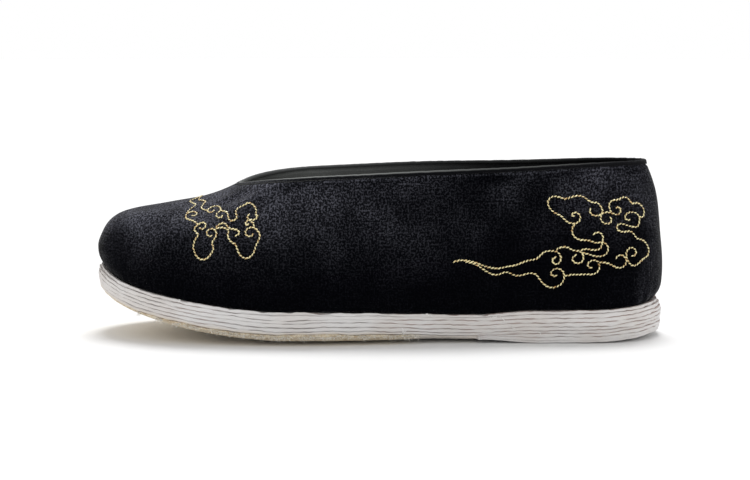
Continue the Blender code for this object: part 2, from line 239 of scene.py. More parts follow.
@dataclass(frozen=True)
class ShoeForm:
    """The form that all pieces share, in the part's own sizes.

    A place round the shoe is a turn: 0 at the back of the heel, 0.25 on the outer side, 0.5 at
    the toe and 0.75 on the inner side. A place up the wall is a rise: 0 at the feather line and
    1 at the collar.
    """

    length: float = 275.0 * MM
    ball_width: float = 98.0 * MM
    heel_width: float = 68.0 * MM
    back_height: float = 84.5 * MM
    throat_height: float = 73.5 * MM
    throat_behind_toe: float = 70.0 * MM
    mouth_width: float = 70.5 * MM
    collar_lean: float = 8.5 * MM
    ply_count: int = 6
    ply_pitch: float = 1.80 * MM
    heel_ply_count: int = 3
    heel_ply_pitch: float = 1.60 * MM
    heel_ply_reach: float = 0.331
    heel_ply_step: float = 1.2 * MM
    heel_wedge_length: float = 28.0 * MM
    heel_wedge_front: float = 0.50
    leather_thickness: float = 2.50 * MM
    leather_skive_length: float = 60.0 * MM
    leather_rear_thickness: float = 1.40 * MM
    leather_toe_thickness: float = 1.50 * MM
    toe_spring: float = 21.8 * MM
    toe_round_length: float = 56.0 * MM
    heel_round_length: float = 35.0 * MM
    edge_lift: float = 3.2 * MM
    upper_wall: float = 2.0 * MM
    feather_inset: float = 2.0 * MM
    side_bulge: float = 3.3 * MM
    collar_heel_round: float = 0.16
    collar_throat_round: float = 0.17
    collar_shift_loss: float = 0.4
    toe_profile_from: float = 0.60
    heel_profile_to: float = 0.22
    join: float = 0.15 * MM
    plan_step: float = 1 / 56
    outline_points: int = 1401

    @property
    def half_length(self) -> float:
        """Half the sole's length."""
        return self.length / 2

    def along(self, turn: np.ndarray) -> np.ndarray:
        """Share of the way from heel to toe at a turn."""
        return (1 - np.cos(2 * np.pi * np.asarray(turn, float))) / 2

    def side(self, turn: np.ndarray) -> np.ndarray:
        """Sign of y at a turn: -1 on the outer side, 1 on the inner side."""
        share = np.mod(np.asarray(turn, float), 1.0)
        return np.where(share <= 0.5, Side.OUTER.value, Side.INNER.value)

    def along_of(self, x: np.ndarray) -> np.ndarray:
        """Share of the way from heel to toe at an x."""
        return np.clip((self.half_length - x) / self.length, 0.0, 1.0)

    def straight_half_width(self, along: np.ndarray) -> np.ndarray:
        """Half width of the sole before its ends are rounded."""
        heel_share = self.heel_width / self.ball_width / PLAN.rows[1][1]
        share = PLAN.read(1, along) * (1 + (heel_share - 1) * (1 - ease(0.25, 0.55, along)))
        return share * self.ball_width / 2

    def half_width(self, along: np.ndarray) -> np.ndarray:
        """Half width of the sole, with its round ends."""
        ends = end_round(along * self.length, self.heel_round_length)
        ends = ends * end_round((1 - along) * self.length, self.toe_round_length)
        return self.straight_half_width(along) * ends

    def shift(self, along: np.ndarray) -> np.ndarray:
        """Sideways place of the middle of the sole."""
        return PLAN.read(2, along) * self.ball_width / 2

    def plan(self, turn: np.ndarray) -> np.ndarray:
        """The sole's widest outline, as rows of x and y."""
        along = self.along(turn)
        x = self.half_length - along * self.length
        return np.column_stack((x, self.shift(along) + self.side(turn) * self.half_width(along)))

    def edge(self, turn: np.ndarray, inset: np.ndarray | float = 0.0) -> np.ndarray:
        """The outline moved inwards.

        Args:
            turn: the places round the shoe.
            inset: how far inwards, one value or one for each turn.

        Returns:
            Rows of x and y.
        """
        tangent = unit(self.plan(turn + self.plan_step) - self.plan(turn - self.plan_step))
        inward = np.column_stack((tangent[:, 1], -tangent[:, 0]))
        return self.plan(turn) + inward * np.reshape(inset, (-1, 1))

    def rim_share(self, points: np.ndarray) -> np.ndarray:
        """How near the rim each point of the plan is: 1 on it, 0 on the middle line."""
        along = self.along_of(points[:, 0])
        heel_end = 1 - along * self.length / self.heel_round_length
        toe_end = 1 - (1 - along) * self.length / self.toe_round_length
        near_end = np.clip(np.maximum(heel_end, toe_end), 0.0, 1.0)
        across = (points[:, 1] - self.shift(along)) / self.straight_half_width(along)
        return np.clip(np.hypot(near_end, across), 0.0, 1.0)

    def interface(self, points: np.ndarray, layer: int) -> np.ndarray:
        """Height of a boundary between plies.

        Args:
            points: rows of x and y.
            layer: 0 over the top ply, ply_count under the last full ply, more under the heel.

        Returns:
            The height over each point.
        """
        along = self.along_of(points[:, 0])
        heel_height = self.heel_ply_count * self.heel_ply_pitch - self.join
        low = self.leather_thickness + self.join
        height = low + STACK.read(1, along) * (heel_height - low)
        height += STACK.read(2, along) * self.toe_spring
        height += STACK.read(3, along) * self.edge_lift * CURL.read(1, self.rim_share(points))
        if layer <= self.ply_count:
            return height + (self.ply_count - layer) * STACK.read(4, along) * self.ply_pitch
        wedge = self.heel_wedge_length / self.length
        full = 1 - ease(self.heel_ply_reach - wedge, self.heel_ply_reach, along)
        thin = self.heel_wedge_front + (1 - self.heel_wedge_front) * full
        return height - (layer - self.ply_count) * thin * self.heel_ply_pitch

    def leather_depth(self, points: np.ndarray) -> np.ndarray:
        """Thickness of the half sole, skived towards the waist and the toe."""
        along = self.along_of(points[:, 0])
        rear = self.heel_ply_reach + 2 * self.join / self.length
        rear_full = ease(0.0, self.leather_skive_length, (along - rear) * self.length)
        toe_full = ease(0.0, self.leather_skive_length, (1 - along) * self.length)
        skived = (1 - rear_full) * (self.leather_thickness - self.leather_rear_thickness)
        skived += (1 - toe_full) * (self.leather_thickness - self.leather_toe_thickness)
        return self.leather_thickness - skived

    def on_sole(self, turn: np.ndarray, inset: np.ndarray | float) -> np.ndarray:
        """Points on top of the sole, at an inset from its outline."""
        flat = self.edge(turn, inset)
        return np.column_stack((flat, self.interface(flat, 0)))

    def collar(self, turn: np.ndarray) -> np.ndarray:
        """The crown line of the collar."""
        sole_along = self.along(turn)
        along = COLLAR.read(1, sole_along)
        half = COLLAR.read(2, sole_along) * self.mouth_width / 2
        half = half * end_round(along, self.collar_heel_round)
        half = half * end_round(1 - along, self.collar_throat_round)
        rise = self.back_height - self.throat_height
        back = self.half_length - self.collar_lean
        throat = -self.half_length + self.throat_behind_toe
        y = self.shift(sole_along) * (1 - self.collar_shift_loss * along) + self.side(turn) * half
        z = self.throat_height + rise * COLLAR.read(3, sole_along)
        return np.column_stack((back + along * (throat - back), y, z))

    def wall(self, turn: np.ndarray, rise: np.ndarray) -> np.ndarray:
        """Points on the outside of the upper.

        Args:
            turn: the places round the shoe.
            rise: the places up the wall, one for each turn.

        Returns:
            Rows of x, y and z.
        """
        feather = self.on_sole(turn, self.feather_inset)
        ahead = self.edge(turn + self.plan_step, self.feather_inset)
        behind = self.edge(turn - self.plan_step, self.feather_inset)
        tangent = unit(ahead - behind)
        along = self.along(turn)
        toe = ease(self.toe_profile_from, 1.0, along)
        heel = 1 - ease(0.0, self.heel_profile_to, along)
        weights = (toe, 1 - toe - heel, heel)
        read = [PROFILE.read(column, rise) for column in range(1, 9)]
        inwards = weights[0] * read[0] + weights[1] * read[2] + weights[2] * read[5]
        up = weights[0] * read[1] + weights[1] * read[3] + weights[2] * read[6]
        out = (weights[1] * read[4] + weights[2] * read[7]) * self.side_bulge
        point = feather + (self.collar(turn) - feather) * np.column_stack((inwards, inwards, up))
        point[:, 0] -= tangent[:, 1] * out
        point[:, 1] += tangent[:, 0] * out
        return point

    def wall_normal(self, turn: np.ndarray, rise: np.ndarray) -> np.ndarray:
        """Outward unit normals of the wall."""
        step = 1e-3
        around = self.wall(turn + step, rise) - self.wall(turn - step, rise)
        low, high = np.clip(rise - step, 0.0, 1.0), np.clip(rise + step, 0.0, 1.0)
        upward = self.wall(turn, high) - self.wall(turn, low)
        return unit(np.cross(upward, around))

    def arc(self, turn: np.ndarray) -> np.ndarray:
        """Share of the outline's own length at each turn, so that waves keep their size."""
        fine = np.linspace(0.0, 1.0, self.outline_points)
        walked = walk(self.plan(fine))
        return np.interp(np.mod(turn, 1.0), fine, walked / walked[-1])

    @property
    def perimeter(self) -> float:
        """Length of the sole's outline."""
        return float(walk(self.plan(np.linspace(0.0, 1.0, self.outline_points)))[-1])


@dataclass(frozen=True)
class Ripple:
    """A soft unevenness round the shoe that meets itself at the heel."""

    seed: int
    longest: float
    shortest: float
    waves: int = 14

    def read(self, form: ShoeForm, turn: np.ndarray, height: np.ndarray | float = 0.0) -> np.ndarray:
        """Reads the unevenness, mostly between -1 and 1.

        Args:
            form: the shoe's form.
            turn: the places round the shoe.
            height: the places up from the sole, in metres.

        Returns:
            The unevenness at each place.
        """
        draw = random.Random(self.seed)
        angle = 2 * np.pi * form.arc(turn)
        total = np.zeros_like(angle)
        for _ in range(self.waves):
            length = math.exp(draw.uniform(math.log(self.shortest), math.log(self.longest)))
            times = max(1, round(form.perimeter / length))
            lean = draw.uniform(-1.0, 1.0) * 2 * np.pi / length
            total += np.cos(times * angle + lean * height + draw.uniform(0, 2 * np.pi))
        return total / math.sqrt(self.waves)


def lay_grid(
    mesh: bmesh.types.BMesh,
    columns: int,
    rows: int,
    place: Callable[[np.ndarray, np.ndarray], np.ndarray],
) -> tuple[list[bmesh.types.BMVert], np.ndarray, np.ndarray]:
    """Adds a grid of quads and lays it on a surface.

    Args:
        mesh: the mesh to add it to.
        columns: how many cells it has one way.
        rows: how many cells it has the other way.
        place: takes the column and row numbers of points and gives their places.

    Returns:
        The grid's points, and the column and row number of each.
    """
    made = bmesh.ops.create_grid(mesh, x_segments=columns, y_segments=rows, size=1.0)["verts"]
    flat = np.array([vert.co[:2] for vert in made])
    low, high = flat.min(axis=0), flat.max(axis=0)
    steps = np.rint((flat - low) / (high - low) * (columns, rows)).astype(int)
    for vert, point in zip(made, place(steps[:, 0], steps[:, 1])):
        vert.co = point
    return made, steps[:, 0], steps[:, 1]


def weld(mesh: bmesh.types.BMesh, distance: float = 1e-6) -> None:
    """Closes a mesh's seams and poles and turns its faces outwards."""
    bmesh.ops.remove_doubles(mesh, verts=mesh.verts[:], dist=distance)
    bmesh.ops.dissolve_degenerate(mesh, edges=mesh.edges[:], dist=distance)
    bmesh.ops.recalc_face_normals(mesh, faces=mesh.faces[:])


def make_piece(
    name: str,
    mesh: bmesh.types.BMesh,
    material: bpy.types.Material,
    stands_for: Iterable[str] = (),
    sharp_degrees: float = 60.0,
) -> bpy.types.Object:
    """Makes a finished piece of the shoe from a mesh.

    Args:
        name: the piece's name.
        mesh: its mesh, which is freed.
        material: its finish.
        stands_for: the part's solids that it is shown in place of.
        sharp_degrees: the angle from which an edge is shaded as sharp.

    Returns:
        The piece.
    """
    data = bpy.data.meshes.new(name)
    mesh.to_mesh(data)
    mesh.free()
    data.shade_smooth()
    data.set_sharp_from_angle(angle=math.radians(sharp_degrees))
    data.materials.append(material)
    piece = bpy.data.objects.new(name, data)
    bpy.context.scene.collection.objects.link(piece)
    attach(piece, BODY)
    if stands_for:
        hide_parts(*stands_for)
    LOG.info("%s: %d faces", name, len(data.polygons))
    return piece


class Nodes:
    """Adds and joins shader nodes in few words."""

    def __init__(self, tree: bpy.types.NodeTree) -> None:
        """Works on one node tree."""
        self.tree = tree

    def add(self, kind: str, **settings: object) -> bpy.types.Node:
        """Adds a node of a kind and sets its options."""
        node = self.tree.nodes.new(kind)
        for name, value in settings.items():
            setattr(node, name, value)
        return node

    def feed(self, socket: bpy.types.NodeSocket, value: object) -> None:
        """Joins a socket to another one, or sets it to a plain value."""
        if isinstance(value, bpy.types.NodeSocket):
            self.tree.links.new(value, socket)
        else:
            socket.default_value = value

    def fill(self, node: bpy.types.Node, **values: object) -> bpy.types.Node:
        """Feeds a node's inputs by name; an underscore in a name is a space, and None is left out."""
        for name, value in values.items():
            if value is not None:
                self.feed(node.inputs[name.replace("_", " ")], value)
        return node

    def group(self, tree: bpy.types.NodeTree, **values: object) -> bpy.types.Node:
        """Places a node group and feeds its inputs by name."""
        return self.fill(self.add("ShaderNodeGroup", node_tree=tree), **values)

    def math(
        self, operation: str, first: object, second: object = 0.0, clamp: bool = False
    ) -> bpy.types.NodeSocket:
        """A sum on one or two numbers.

        Args:
            operation: the Math node's operation.
            first: a socket or a number.
            second: a socket or a number.
            clamp: whether the result is kept from 0 to 1.

        Returns:
            The result's socket.
        """
        node = self.add("ShaderNodeMath", operation=operation, use_clamp=clamp)
        self.feed(node.inputs[0], first)
        self.feed(node.inputs[1], second)
        return node.outputs[0]

    def scaled(self, vector: object, scale: tuple[float, float, float]) -> bpy.types.NodeSocket:
        """A vector with each axis multiplied."""
        node = self.add("ShaderNodeVectorMath", operation="MULTIPLY")
        self.feed(node.inputs[0], vector)
        self.feed(node.inputs[1], scale)
        return node.outputs[0]

    def joined(self, x: object, y: object, z: object = 0.0) -> bpy.types.NodeSocket:
        """A vector from three numbers."""
        node = self.add("ShaderNodeCombineXYZ")
        for socket, value in zip(node.inputs, (x, y, z)):
            self.feed(socket, value)
        return node.outputs[0]

    def split(self, vector: object) -> list[bpy.types.NodeSocket]:
        """The three numbers of a vector."""
        node = self.add("ShaderNodeSeparateXYZ")
        self.feed(node.inputs[0], vector)
        return list(node.outputs)

    def noise(self, vector: object, scale: object, detail: float = 2.0, flat: bool = False) -> bpy.types.Node:
        """A noise texture.

        Args:
            vector: where it is read.
            scale: how many features there are to a unit.
            detail: how many finer octaves it has.
            flat: whether it varies with x and y alone.

        Returns:
            The node, with a value and a colour.
        """
        node = self.add("ShaderNodeTexNoise", noise_dimensions="2D" if flat else "3D")
        return self.fill(node, Vector=vector, Scale=scale, Detail=detail)

    def times(self, first: object, second: object, clamp: bool = False) -> bpy.types.NodeSocket:
        """The product of two numbers."""
        return self.math("MULTIPLY", first, second, clamp)

    def plus(self, first: object, second: object) -> bpy.types.NodeSocket:
        """The sum of two numbers."""
        return self.math("ADD", first, second)

    def spread(self, value: object, low: float, high: float) -> bpy.types.NodeSocket:
        """A value's place between low and high, kept from 0 to 1 and eased at both ends."""
        node = self.add("ShaderNodeMapRange", interpolation_type="SMOOTHSTEP")
        return self.fill(node, Value=value, From_Min=low, From_Max=high).outputs["Result"]

    def blend(self, share: object, low: object, high: object) -> bpy.types.NodeSocket:
        """A number between two others."""
        node = self.add("ShaderNodeMix", data_type="FLOAT")
        self.feed(node.inputs[0], share)
        self.feed(node.inputs[2], low)
        self.feed(node.inputs[3], high)
        return node.outputs[0]

    def tint(self, share: object, low: object, high: object) -> bpy.types.NodeSocket:
        """A colour between two others."""
        node = self.add("ShaderNodeMix", data_type="RGBA")
        self.feed(node.inputs[0], share)
        for socket, value in ((node.inputs[6], low), (node.inputs[7], high)):
            self.feed(socket, (*value, 1.0) if isinstance(value, tuple) else value)
        return node.outputs[2]

    def bump(
        self, height: object, distance: float, strength: float = 1.0, under: object = None
    ) -> bpy.types.NodeSocket:
        """A normal from a height.

        Args:
            height: the height's socket.
            distance: how far 1 of height is, in metres.
            strength: the share of it that shows.
            under: a coarser normal that it is laid on.

        Returns:
            The normal's socket.
        """
        node = self.add("ShaderNodeBump")
        self.fill(node, Strength=strength, Distance=distance, Height=height, Normal=under)
        return node.outputs["Normal"]


def new_group(name: str, inputs: Iterable[str], outputs: Iterable[str]) -> tuple[Nodes, dict, dict]:
    """Starts a shader node group.

    Args:
        name: the group's name.
        inputs: the names of its inputs; one that starts with a capital V is a vector.
        outputs: the names of its outputs, all plain numbers.

    Returns:
        Its nodes, its input sockets and its output sockets, by name.
    """
    group = bpy.data.node_groups.new(name, "ShaderNodeTree")
    for label in inputs:
        kind = "NodeSocketVector" if label.startswith("V") else "NodeSocketFloat"
        group.interface.new_socket(label, in_out="INPUT", socket_type=kind)
    for label in outputs:
        group.interface.new_socket(label, in_out="OUTPUT", socket_type="NodeSocketFloat")
    nodes = Nodes(group)
    given = nodes.add("NodeGroupInput").outputs
    result = nodes.add("NodeGroupOutput").inputs
    return nodes, *({socket.name: socket for socket in ends if socket.name} for ends in (given, result))


@cache
def flat_weave() -> bpy.types.NodeTree:
    """A plain weave with slubs on one flat face, in thread widths."""
    nodes, given, result = new_group("flat_weave", ("Across", "Along", "Slubs"), ("Height", "Thread"))
    place = nodes.joined(given["Across"], given["Along"])
    wander = nodes.split(nodes.noise(place, 0.21, 2.0, flat=True).outputs["Color"])
    threads = []
    for position, drift in zip((given["Across"], given["Along"]), wander):
        moved = nodes.plus(position, nodes.times(drift, 1.9))
        threads.append(nodes.math("SINE", nodes.times(moved, math.pi)))
    warp, weft = (nodes.math("ABSOLUTE", thread) for thread in threads)
    over = nodes.math("ADD", nodes.times(nodes.times(*threads), 2.5), 0.5, clamp=True)
    slubs = []
    for scale in ((0.8, 0.09, 1.0), (0.09, 0.8, 1.0)):
        streak = nodes.noise(nodes.scaled(place, scale), 1.0, 2.0, flat=True).outputs[0]
        slubs.append(nodes.times(nodes.spread(streak, 0.54, 0.78), given["Slubs"]))
    raised = []
    for thread, crossing, slub in ((warp, weft, slubs[0]), (weft, warp, slubs[1])):
        arch = nodes.times(thread, nodes.plus(nodes.times(crossing, 0.5), 0.5))
        raised.append(nodes.times(arch, nodes.plus(slub, 0.6)))
    height = nodes.blend(over, raised[1], raised[0])
    nodes.feed(result["Height"], height)
    lit = nodes.math("MAXIMUM", nodes.times(slubs[0], warp), nodes.times(slubs[1], weft))
    speck = nodes.spread(nodes.noise(place, 0.80, 2.0, flat=True).outputs[0], 0.48, 0.64)
    plain = nodes.plus(nodes.times(height, 0.22), nodes.times(speck, 0.75))
    nodes.feed(result["Thread"], nodes.plus(plain, nodes.times(lit, 0.50)))
    return nodes.tree


@cache
def wrapped_weave() -> bpy.types.NodeTree:
    """The same weave laid on a curved form, so that its threads run along the shoe and over the toe."""
    nodes, given, result = new_group(
        "wrapped_weave", ("Vector", "Vector normal", "Pitch", "Slubs"), ("Height", "Thread")
    )
    x, y, z = (nodes.math("DIVIDE", part, given["Pitch"]) for part in nodes.split(given["Vector"]))
    normal = nodes.split(given["Vector normal"])
    facing = [nodes.math("POWER", nodes.math("ABSOLUTE", part), 6.0) for part in normal]
    total = nodes.plus(nodes.plus(facing[0], facing[1]), nodes.plus(facing[2], 1e-4))
    sums = {"Height": None, "Thread": None}
    for share, (across, along) in zip(facing, ((z, y), (x, z), (x, y))):
        face = nodes.group(flat_weave(), Across=across, Along=along, Slubs=given["Slubs"])
        part = nodes.math("DIVIDE", share, total)
        for label in sums:
            value = nodes.times(face.outputs[label], part)
            sums[label] = value if sums[label] is None else nodes.plus(sums[label], value)
    for label, value in sums.items():
        nodes.feed(result[label], value)
    return nodes.tree


@cache
def patches() -> bpy.types.NodeTree:
    """Soft uneven patches, as dust, wear and handling leave them."""
    nodes, given, result = new_group("patches", ("Vector", "Scale"), ("Patch", "Grain"))
    broad = nodes.noise(given["Vector"], given["Scale"], 3.0).outputs[0]
    nodes.feed(result["Patch"], nodes.spread(broad, 0.36, 0.66))
    fine = nodes.noise(given["Vector"], nodes.times(given["Scale"], 45.0), 2.0).outputs[0]
    nodes.feed(result["Grain"], fine)
    return nodes.tree


def start_material(name: str) -> tuple[Nodes, bpy.types.Node, bpy.types.Node]:
    """Starts a material.

    Args:
        name: its name.

    Returns:
        Its nodes, its shader and its Texture Coordinate node.
    """
    material = bpy.data.materials.new(name)
    material.use_nodes = True
    nodes = Nodes(material.node_tree)
    return nodes, material.node_tree.nodes["Principled BSDF"], nodes.add("ShaderNodeTexCoord")


Colour = tuple[float, float, float]


@dataclass(frozen=True)
class WovenCloth:
    """A dull woven cloth with slubs and worn patches, and painted light: faces that look up show all of the
    raised colour and the other faces only a share of it, with painted light high on the sides towards the
    toe, a painted highlight on faces that look backwards, and painted shade that darkens it towards the heel.
    """

    name: str
    shade: Colour
    raised: Colour
    pitch: float
    slubs: float
    relief: float
    patch_scale: float = 55.0
    patch_share: float = 0.5
    roughness: float = 0.85
    specular: float = 0.12
    sheen: float = 0.12
    sheen_roughness: float = 0.45
    # Painted light: the share of the raised colour that faces which don't look up keep, then the painted
    # light and the painted highlight added on the sides and the back
    side_share: float = 1.0
    side_painted_light: float = 0.0
    back_painted_highlight: float = 0.0
    # Painted shade: how much darker the colour gets towards the heel, and the colour of that shade
    heel_painted_shade: float = 0.0
    heel_shade_colour: Colour = (0.002, 0.002, 0.003)
    # Where the painted light on the sides lies: how high up, and how far towards the toe
    side_light_above: tuple[float, float] = (24 * MM, 60 * MM)
    side_light_before: tuple[float, float] = (65 * MM, 5 * MM)
    darkens_behind: tuple[float, float] = (-60 * MM, 65 * MM)
    fuzz_depth: float = 0.05 * MM

    def material(self, crown_highlight_colour: Colour | None = None) -> bpy.types.Material:
        """Builds the cloth's material.

        Args:
            crown_highlight_colour: the colour of a painted highlight, towards which the points' own value
                named rolled leads.

        Returns:
            The material.
        """
        nodes, shader, place = start_material(self.name)
        weave = nodes.group(
            wrapped_weave(),
            Vector=place.outputs["Object"],
            Vector_normal=place.outputs["Normal"],
            Pitch=self.pitch,
            Slubs=self.slubs,
        )
        patch = nodes.group(patches(), Vector=place.outputs["Object"], Scale=self.patch_scale)
        strong = nodes.blend(patch.outputs["Patch"], 1.0 - self.patch_share, 1.0)
        x, _, z = nodes.split(place.outputs["Object"])
        backwards, _, up = nodes.split(place.outputs["Normal"])
        # Painted light from above and high on the sides, and a painted highlight on faces that look backwards
        upwards = nodes.spread(up, 0.10, 0.82)
        behind = nodes.times(nodes.spread(backwards, 0.45, 0.95), self.back_painted_highlight)
        high = nodes.spread(z, *self.side_light_above)
        forward = nodes.spread(x, *self.side_light_before)
        painted_light = nodes.times(nodes.times(high, forward), self.side_painted_light)
        painted_light = nodes.plus(painted_light, behind)
        shown = nodes.blend(upwards, nodes.plus(painted_light, self.side_share), 1.0)
        strong = nodes.times(strong, shown)
        share = nodes.times(weave.outputs["Thread"], strong, clamp=True)
        colour = nodes.tint(share, self.shade, self.raised)
        # Painted shade, darker towards the heel
        heel = nodes.times(nodes.spread(x, *self.darkens_behind), self.heel_painted_shade)
        # Painted highlight along the tape's crown, as much as the points' own value gives
        if crown_highlight_colour:
            rolled = nodes.add("ShaderNodeAttribute", attribute_name="rolled").outputs["Fac"]
            colour = nodes.tint(rolled, colour, crown_highlight_colour)
        fuzz = nodes.bump(patch.outputs["Grain"], self.fuzz_depth, 0.5)
        nodes.fill(
            shader,
            Base_Color=nodes.tint(heel, colour, self.heel_shade_colour),
            Normal=nodes.bump(weave.outputs["Height"], self.relief, 1.0, fuzz),
            Roughness=self.roughness,
            Specular_IOR_Level=self.specular,
            Sheen_Weight=self.sheen,
            Sheen_Roughness=self.sheen_roughness,
        )
        return bpy.data.materials[self.name]


@dataclass(frozen=True)
class FoldedCotton:
    """White cotton folded over the plies, with painted shade in grey and pink in its crevices and along its
    fold lines.

    It reads the points' own values: level, which counts plies from the top, and crevice, which sets how much
    painted crevice shade a point gets.
    """

    name: str = "folded_white_cotton"
    clean: Colour = (0.82, 0.805, 0.795)
    warm: Colour = (0.70, 0.64, 0.59)
    # The painted shade's colours in the crevices and along the fold lines
    crevice_shade_pink: Colour = (0.50, 0.36, 0.32)
    crevice_shade_grey: Colour = (0.41, 0.37, 0.36)
    cream: Colour = (0.76, 0.66, 0.53)
    fold_half_width: float = 0.06
    fold_wander: float = 0.30
    line_depth: float = 0.14 * MM
    weave_pitch: float = 0.42 * MM
    weave_depth: float = 0.07 * MM
    cream_before: tuple[float, float] = (30 * MM, -10 * MM)

    def material(self) -> bpy.types.Material:
        """Builds the cotton's material."""
        nodes, shader, place = start_material(self.name)
        spot = place.outputs["Object"]
        level = nodes.add("ShaderNodeAttribute", attribute_name="level").outputs["Fac"]
        crevice = nodes.add("ShaderNodeAttribute", attribute_name="crevice").outputs["Fac"]
        x, y, _ = nodes.split(spot)
        lengthwise = nodes.joined(nodes.times(x, 30.0), nodes.times(y, 30.0), level)
        wander = nodes.times(nodes.noise(lengthwise, 1.0, 3.0).outputs[0], self.fold_wander)
        from_fold = nodes.math("PINGPONG", nodes.plus(level, nodes.plus(wander, 0.22)), 0.5)
        fold = nodes.spread(nodes.math("SUBTRACT", 0.5, from_fold), self.fold_half_width, 0.0)
        broad = nodes.noise(nodes.scaled(lengthwise, (1.5, 1.5, 1.3)), 1.0, 1.0).outputs[0]
        fold = nodes.times(fold, nodes.spread(broad, 0.44, 0.60))
        fine = nodes.joined(nodes.times(x, 160.0), nodes.times(y, 160.0), nodes.times(level, 4.0))
        line = nodes.noise(fine, 1.0, 3.0).outputs[0]
        patch = nodes.group(patches(), Vector=spot, Scale=38.0)
        base = nodes.tint(nodes.times(patch.outputs["Patch"], 0.45), self.clean, self.warm)
        lowest = nodes.times(nodes.spread(level, 4.9, 6.1), nodes.spread(x, *self.cream_before))
        base = nodes.tint(nodes.times(lowest, 0.55), base, self.cream)
        pink = nodes.noise(spot, 24.0, 1.0).outputs[0]
        dark = nodes.tint(nodes.spread(pink, 0.42, 0.58), self.crevice_shade_grey, self.crevice_shade_pink)
        # Painted shade in the crevices and along the fold lines, and fine darker streaks
        depth = nodes.math("MAXIMUM", nodes.spread(crevice, 0.15, 0.9), nodes.times(fold, 0.62))
        depth = nodes.math("MAXIMUM", depth, nodes.times(nodes.spread(line, 0.42, 0.30), 0.16))
        gaps = nodes.blend(nodes.noise(spot, 130.0, 2.0).outputs[0], 0.35, 1.15)
        broken = nodes.times(depth, gaps, clamp=True)
        soft = nodes.bump(nodes.math("SUBTRACT", line, fold), self.line_depth, 0.9)
        weave = nodes.group(
            wrapped_weave(),
            Vector=spot,
            Vector_normal=place.outputs["Normal"],
            Pitch=self.weave_pitch,
            Slubs=0.4,
        )
        nodes.fill(
            shader,
            Base_Color=nodes.tint(broken, base, dark),
            Normal=nodes.bump(weave.outputs["Height"], self.weave_depth, 0.8, soft),
            Roughness=0.95,
            Specular_IOR_Level=0.2,
        )
        return bpy.data.materials[self.name]


@dataclass(frozen=True)
class RoughLeather:
    """Undyed leather with its rough side out, scuffed to fibres."""

    name: str = "rough_tan_leather"
    tan: Colour = (0.79, 0.67, 0.48)
    pale: Colour = (0.90, 0.84, 0.71)
    brown: Colour = (0.56, 0.43, 0.28)
    pasted: Colour = (0.78, 0.74, 0.69)
    pasted_behind: tuple[float, float] = (6 * MM, 22 * MM)
    pit_depth: float = 0.7 * MM
    fibre_depth: float = 0.25 * MM

    def material(self) -> bpy.types.Material:
        """Builds the leather's material."""
        nodes, shader, place = start_material(self.name)
        spot = place.outputs["Object"]
        patch = nodes.group(patches(), Vector=spot, Scale=90.0)
        fibre = nodes.noise(spot, 1500.0, 4.0).outputs[0]
        pit = nodes.noise(spot, 420.0, 3.0).outputs[0]
        base = nodes.tint(nodes.spread(fibre, 0.40, 0.62), self.tan, self.pale)
        worn = nodes.tint(nodes.times(nodes.spread(pit, 0.50, 0.34), 0.8), base, self.brown)
        final = nodes.tint(nodes.times(patch.outputs["Patch"], 0.25), worn, self.brown)
        rear = nodes.spread(nodes.split(spot)[0], *self.pasted_behind)
        coarse = nodes.bump(pit, self.pit_depth, 0.8)
        nodes.fill(
            shader,
            Base_Color=nodes.tint(nodes.times(rear, 0.9), final, self.pasted),
            Normal=nodes.bump(fibre, self.fibre_depth, 0.8, coarse),
            Roughness=0.95,
            Specular_IOR_Level=0.2,
        )
        return bpy.data.materials[self.name]


@dataclass(frozen=True)
class Thread:
    """A thread of one colour, with a finer twist."""

    name: str
    deep: Colour
    bright: Colour
    roughness: float = 0.8
    twist_scale: float = 1400.0
    twist_depth: float = 0.15 * MM
    coat: float = 0.0
    coat_roughness: float = 0.2

    def material(self) -> bpy.types.Material:
        """Builds the thread's material."""
        nodes, shader, place = start_material(self.name)
        twist = nodes.noise(place.outputs["Object"], self.twist_scale, 2.0).outputs[0]
        nodes.fill(
            shader,
            Base_Color=nodes.tint(nodes.spread(twist, 0.33, 0.53), self.deep, self.bright),
            Normal=nodes.bump(twist, self.twist_depth, 0.7),
            Roughness=self.roughness,
            Coat_Weight=self.coat,
            Coat_Roughness=self.coat_roughness,
        )
        return bpy.data.materials[self.name]


# Painted light on the black cloth: its sides keep little of the raised colour, with painted light high on the
# sides and a painted highlight at the back
BLACK_CLOTH = WovenCloth(
    "black_slub_cloth", (0.0004, 0.0005, 0.0013), (0.160, 0.163, 0.198), 0.75 * MM, 1.0, 0.16 * MM,
    roughness=0.95, specular=0.02, sheen=0.18, sheen_roughness=0.25,
    side_share=0.028, side_painted_light=0.26, back_painted_highlight=0.35,
)
# Painted shade darkens the lining towards the heel
GREY_LINING = WovenCloth(
    "grey_lining", (0.200, 0.209, 0.203), (0.270, 0.280, 0.272), 0.55 * MM, 0.25, 0.05 * MM,
    patch_share=0.2, heel_painted_shade=0.97,
)
# Painted light on the tape's top, and painted shade towards the heel
BLACK_TAPE = WovenCloth(
    "black_binding_tape", (0.0010, 0.0011, 0.0022), (0.090, 0.092, 0.104), 0.55 * MM, 0.3, 0.06 * MM,
    roughness=0.8, specular=0.06, sheen=0.06, side_share=0.05, side_painted_light=0.05, heel_painted_shade=0.75,
)
GOLD_THREAD = Thread(
    "gold_thread", (0.58, 0.33, 0.10), (1.00, 0.88, 0.47),
    roughness=0.25, twist_scale=900.0, coat=1.0, coat_roughness=0.12,
)
WHITE_THREAD = Thread("white_sewing_thread", (0.52, 0.49, 0.46), (0.92, 0.90, 0.88))
LEATHER_FIBRE = Thread("leather_fibre", (0.72, 0.62, 0.46), (1.00, 0.97, 0.90))


@dataclass(frozen=True)
class HemTuck:
    """How far the wall is drawn in over the sole at the back of the heel and at the tip of the toe."""

    heel: float = 1.5 * MM
    toe: float = 1.0 * MM

    def at(self, along: np.ndarray) -> np.ndarray:
        """Reads it at shares of the way from heel to toe."""
        return self.heel * heel_share(along) + self.toe * toe_share(along)


HEM_TUCK = HemTuck()


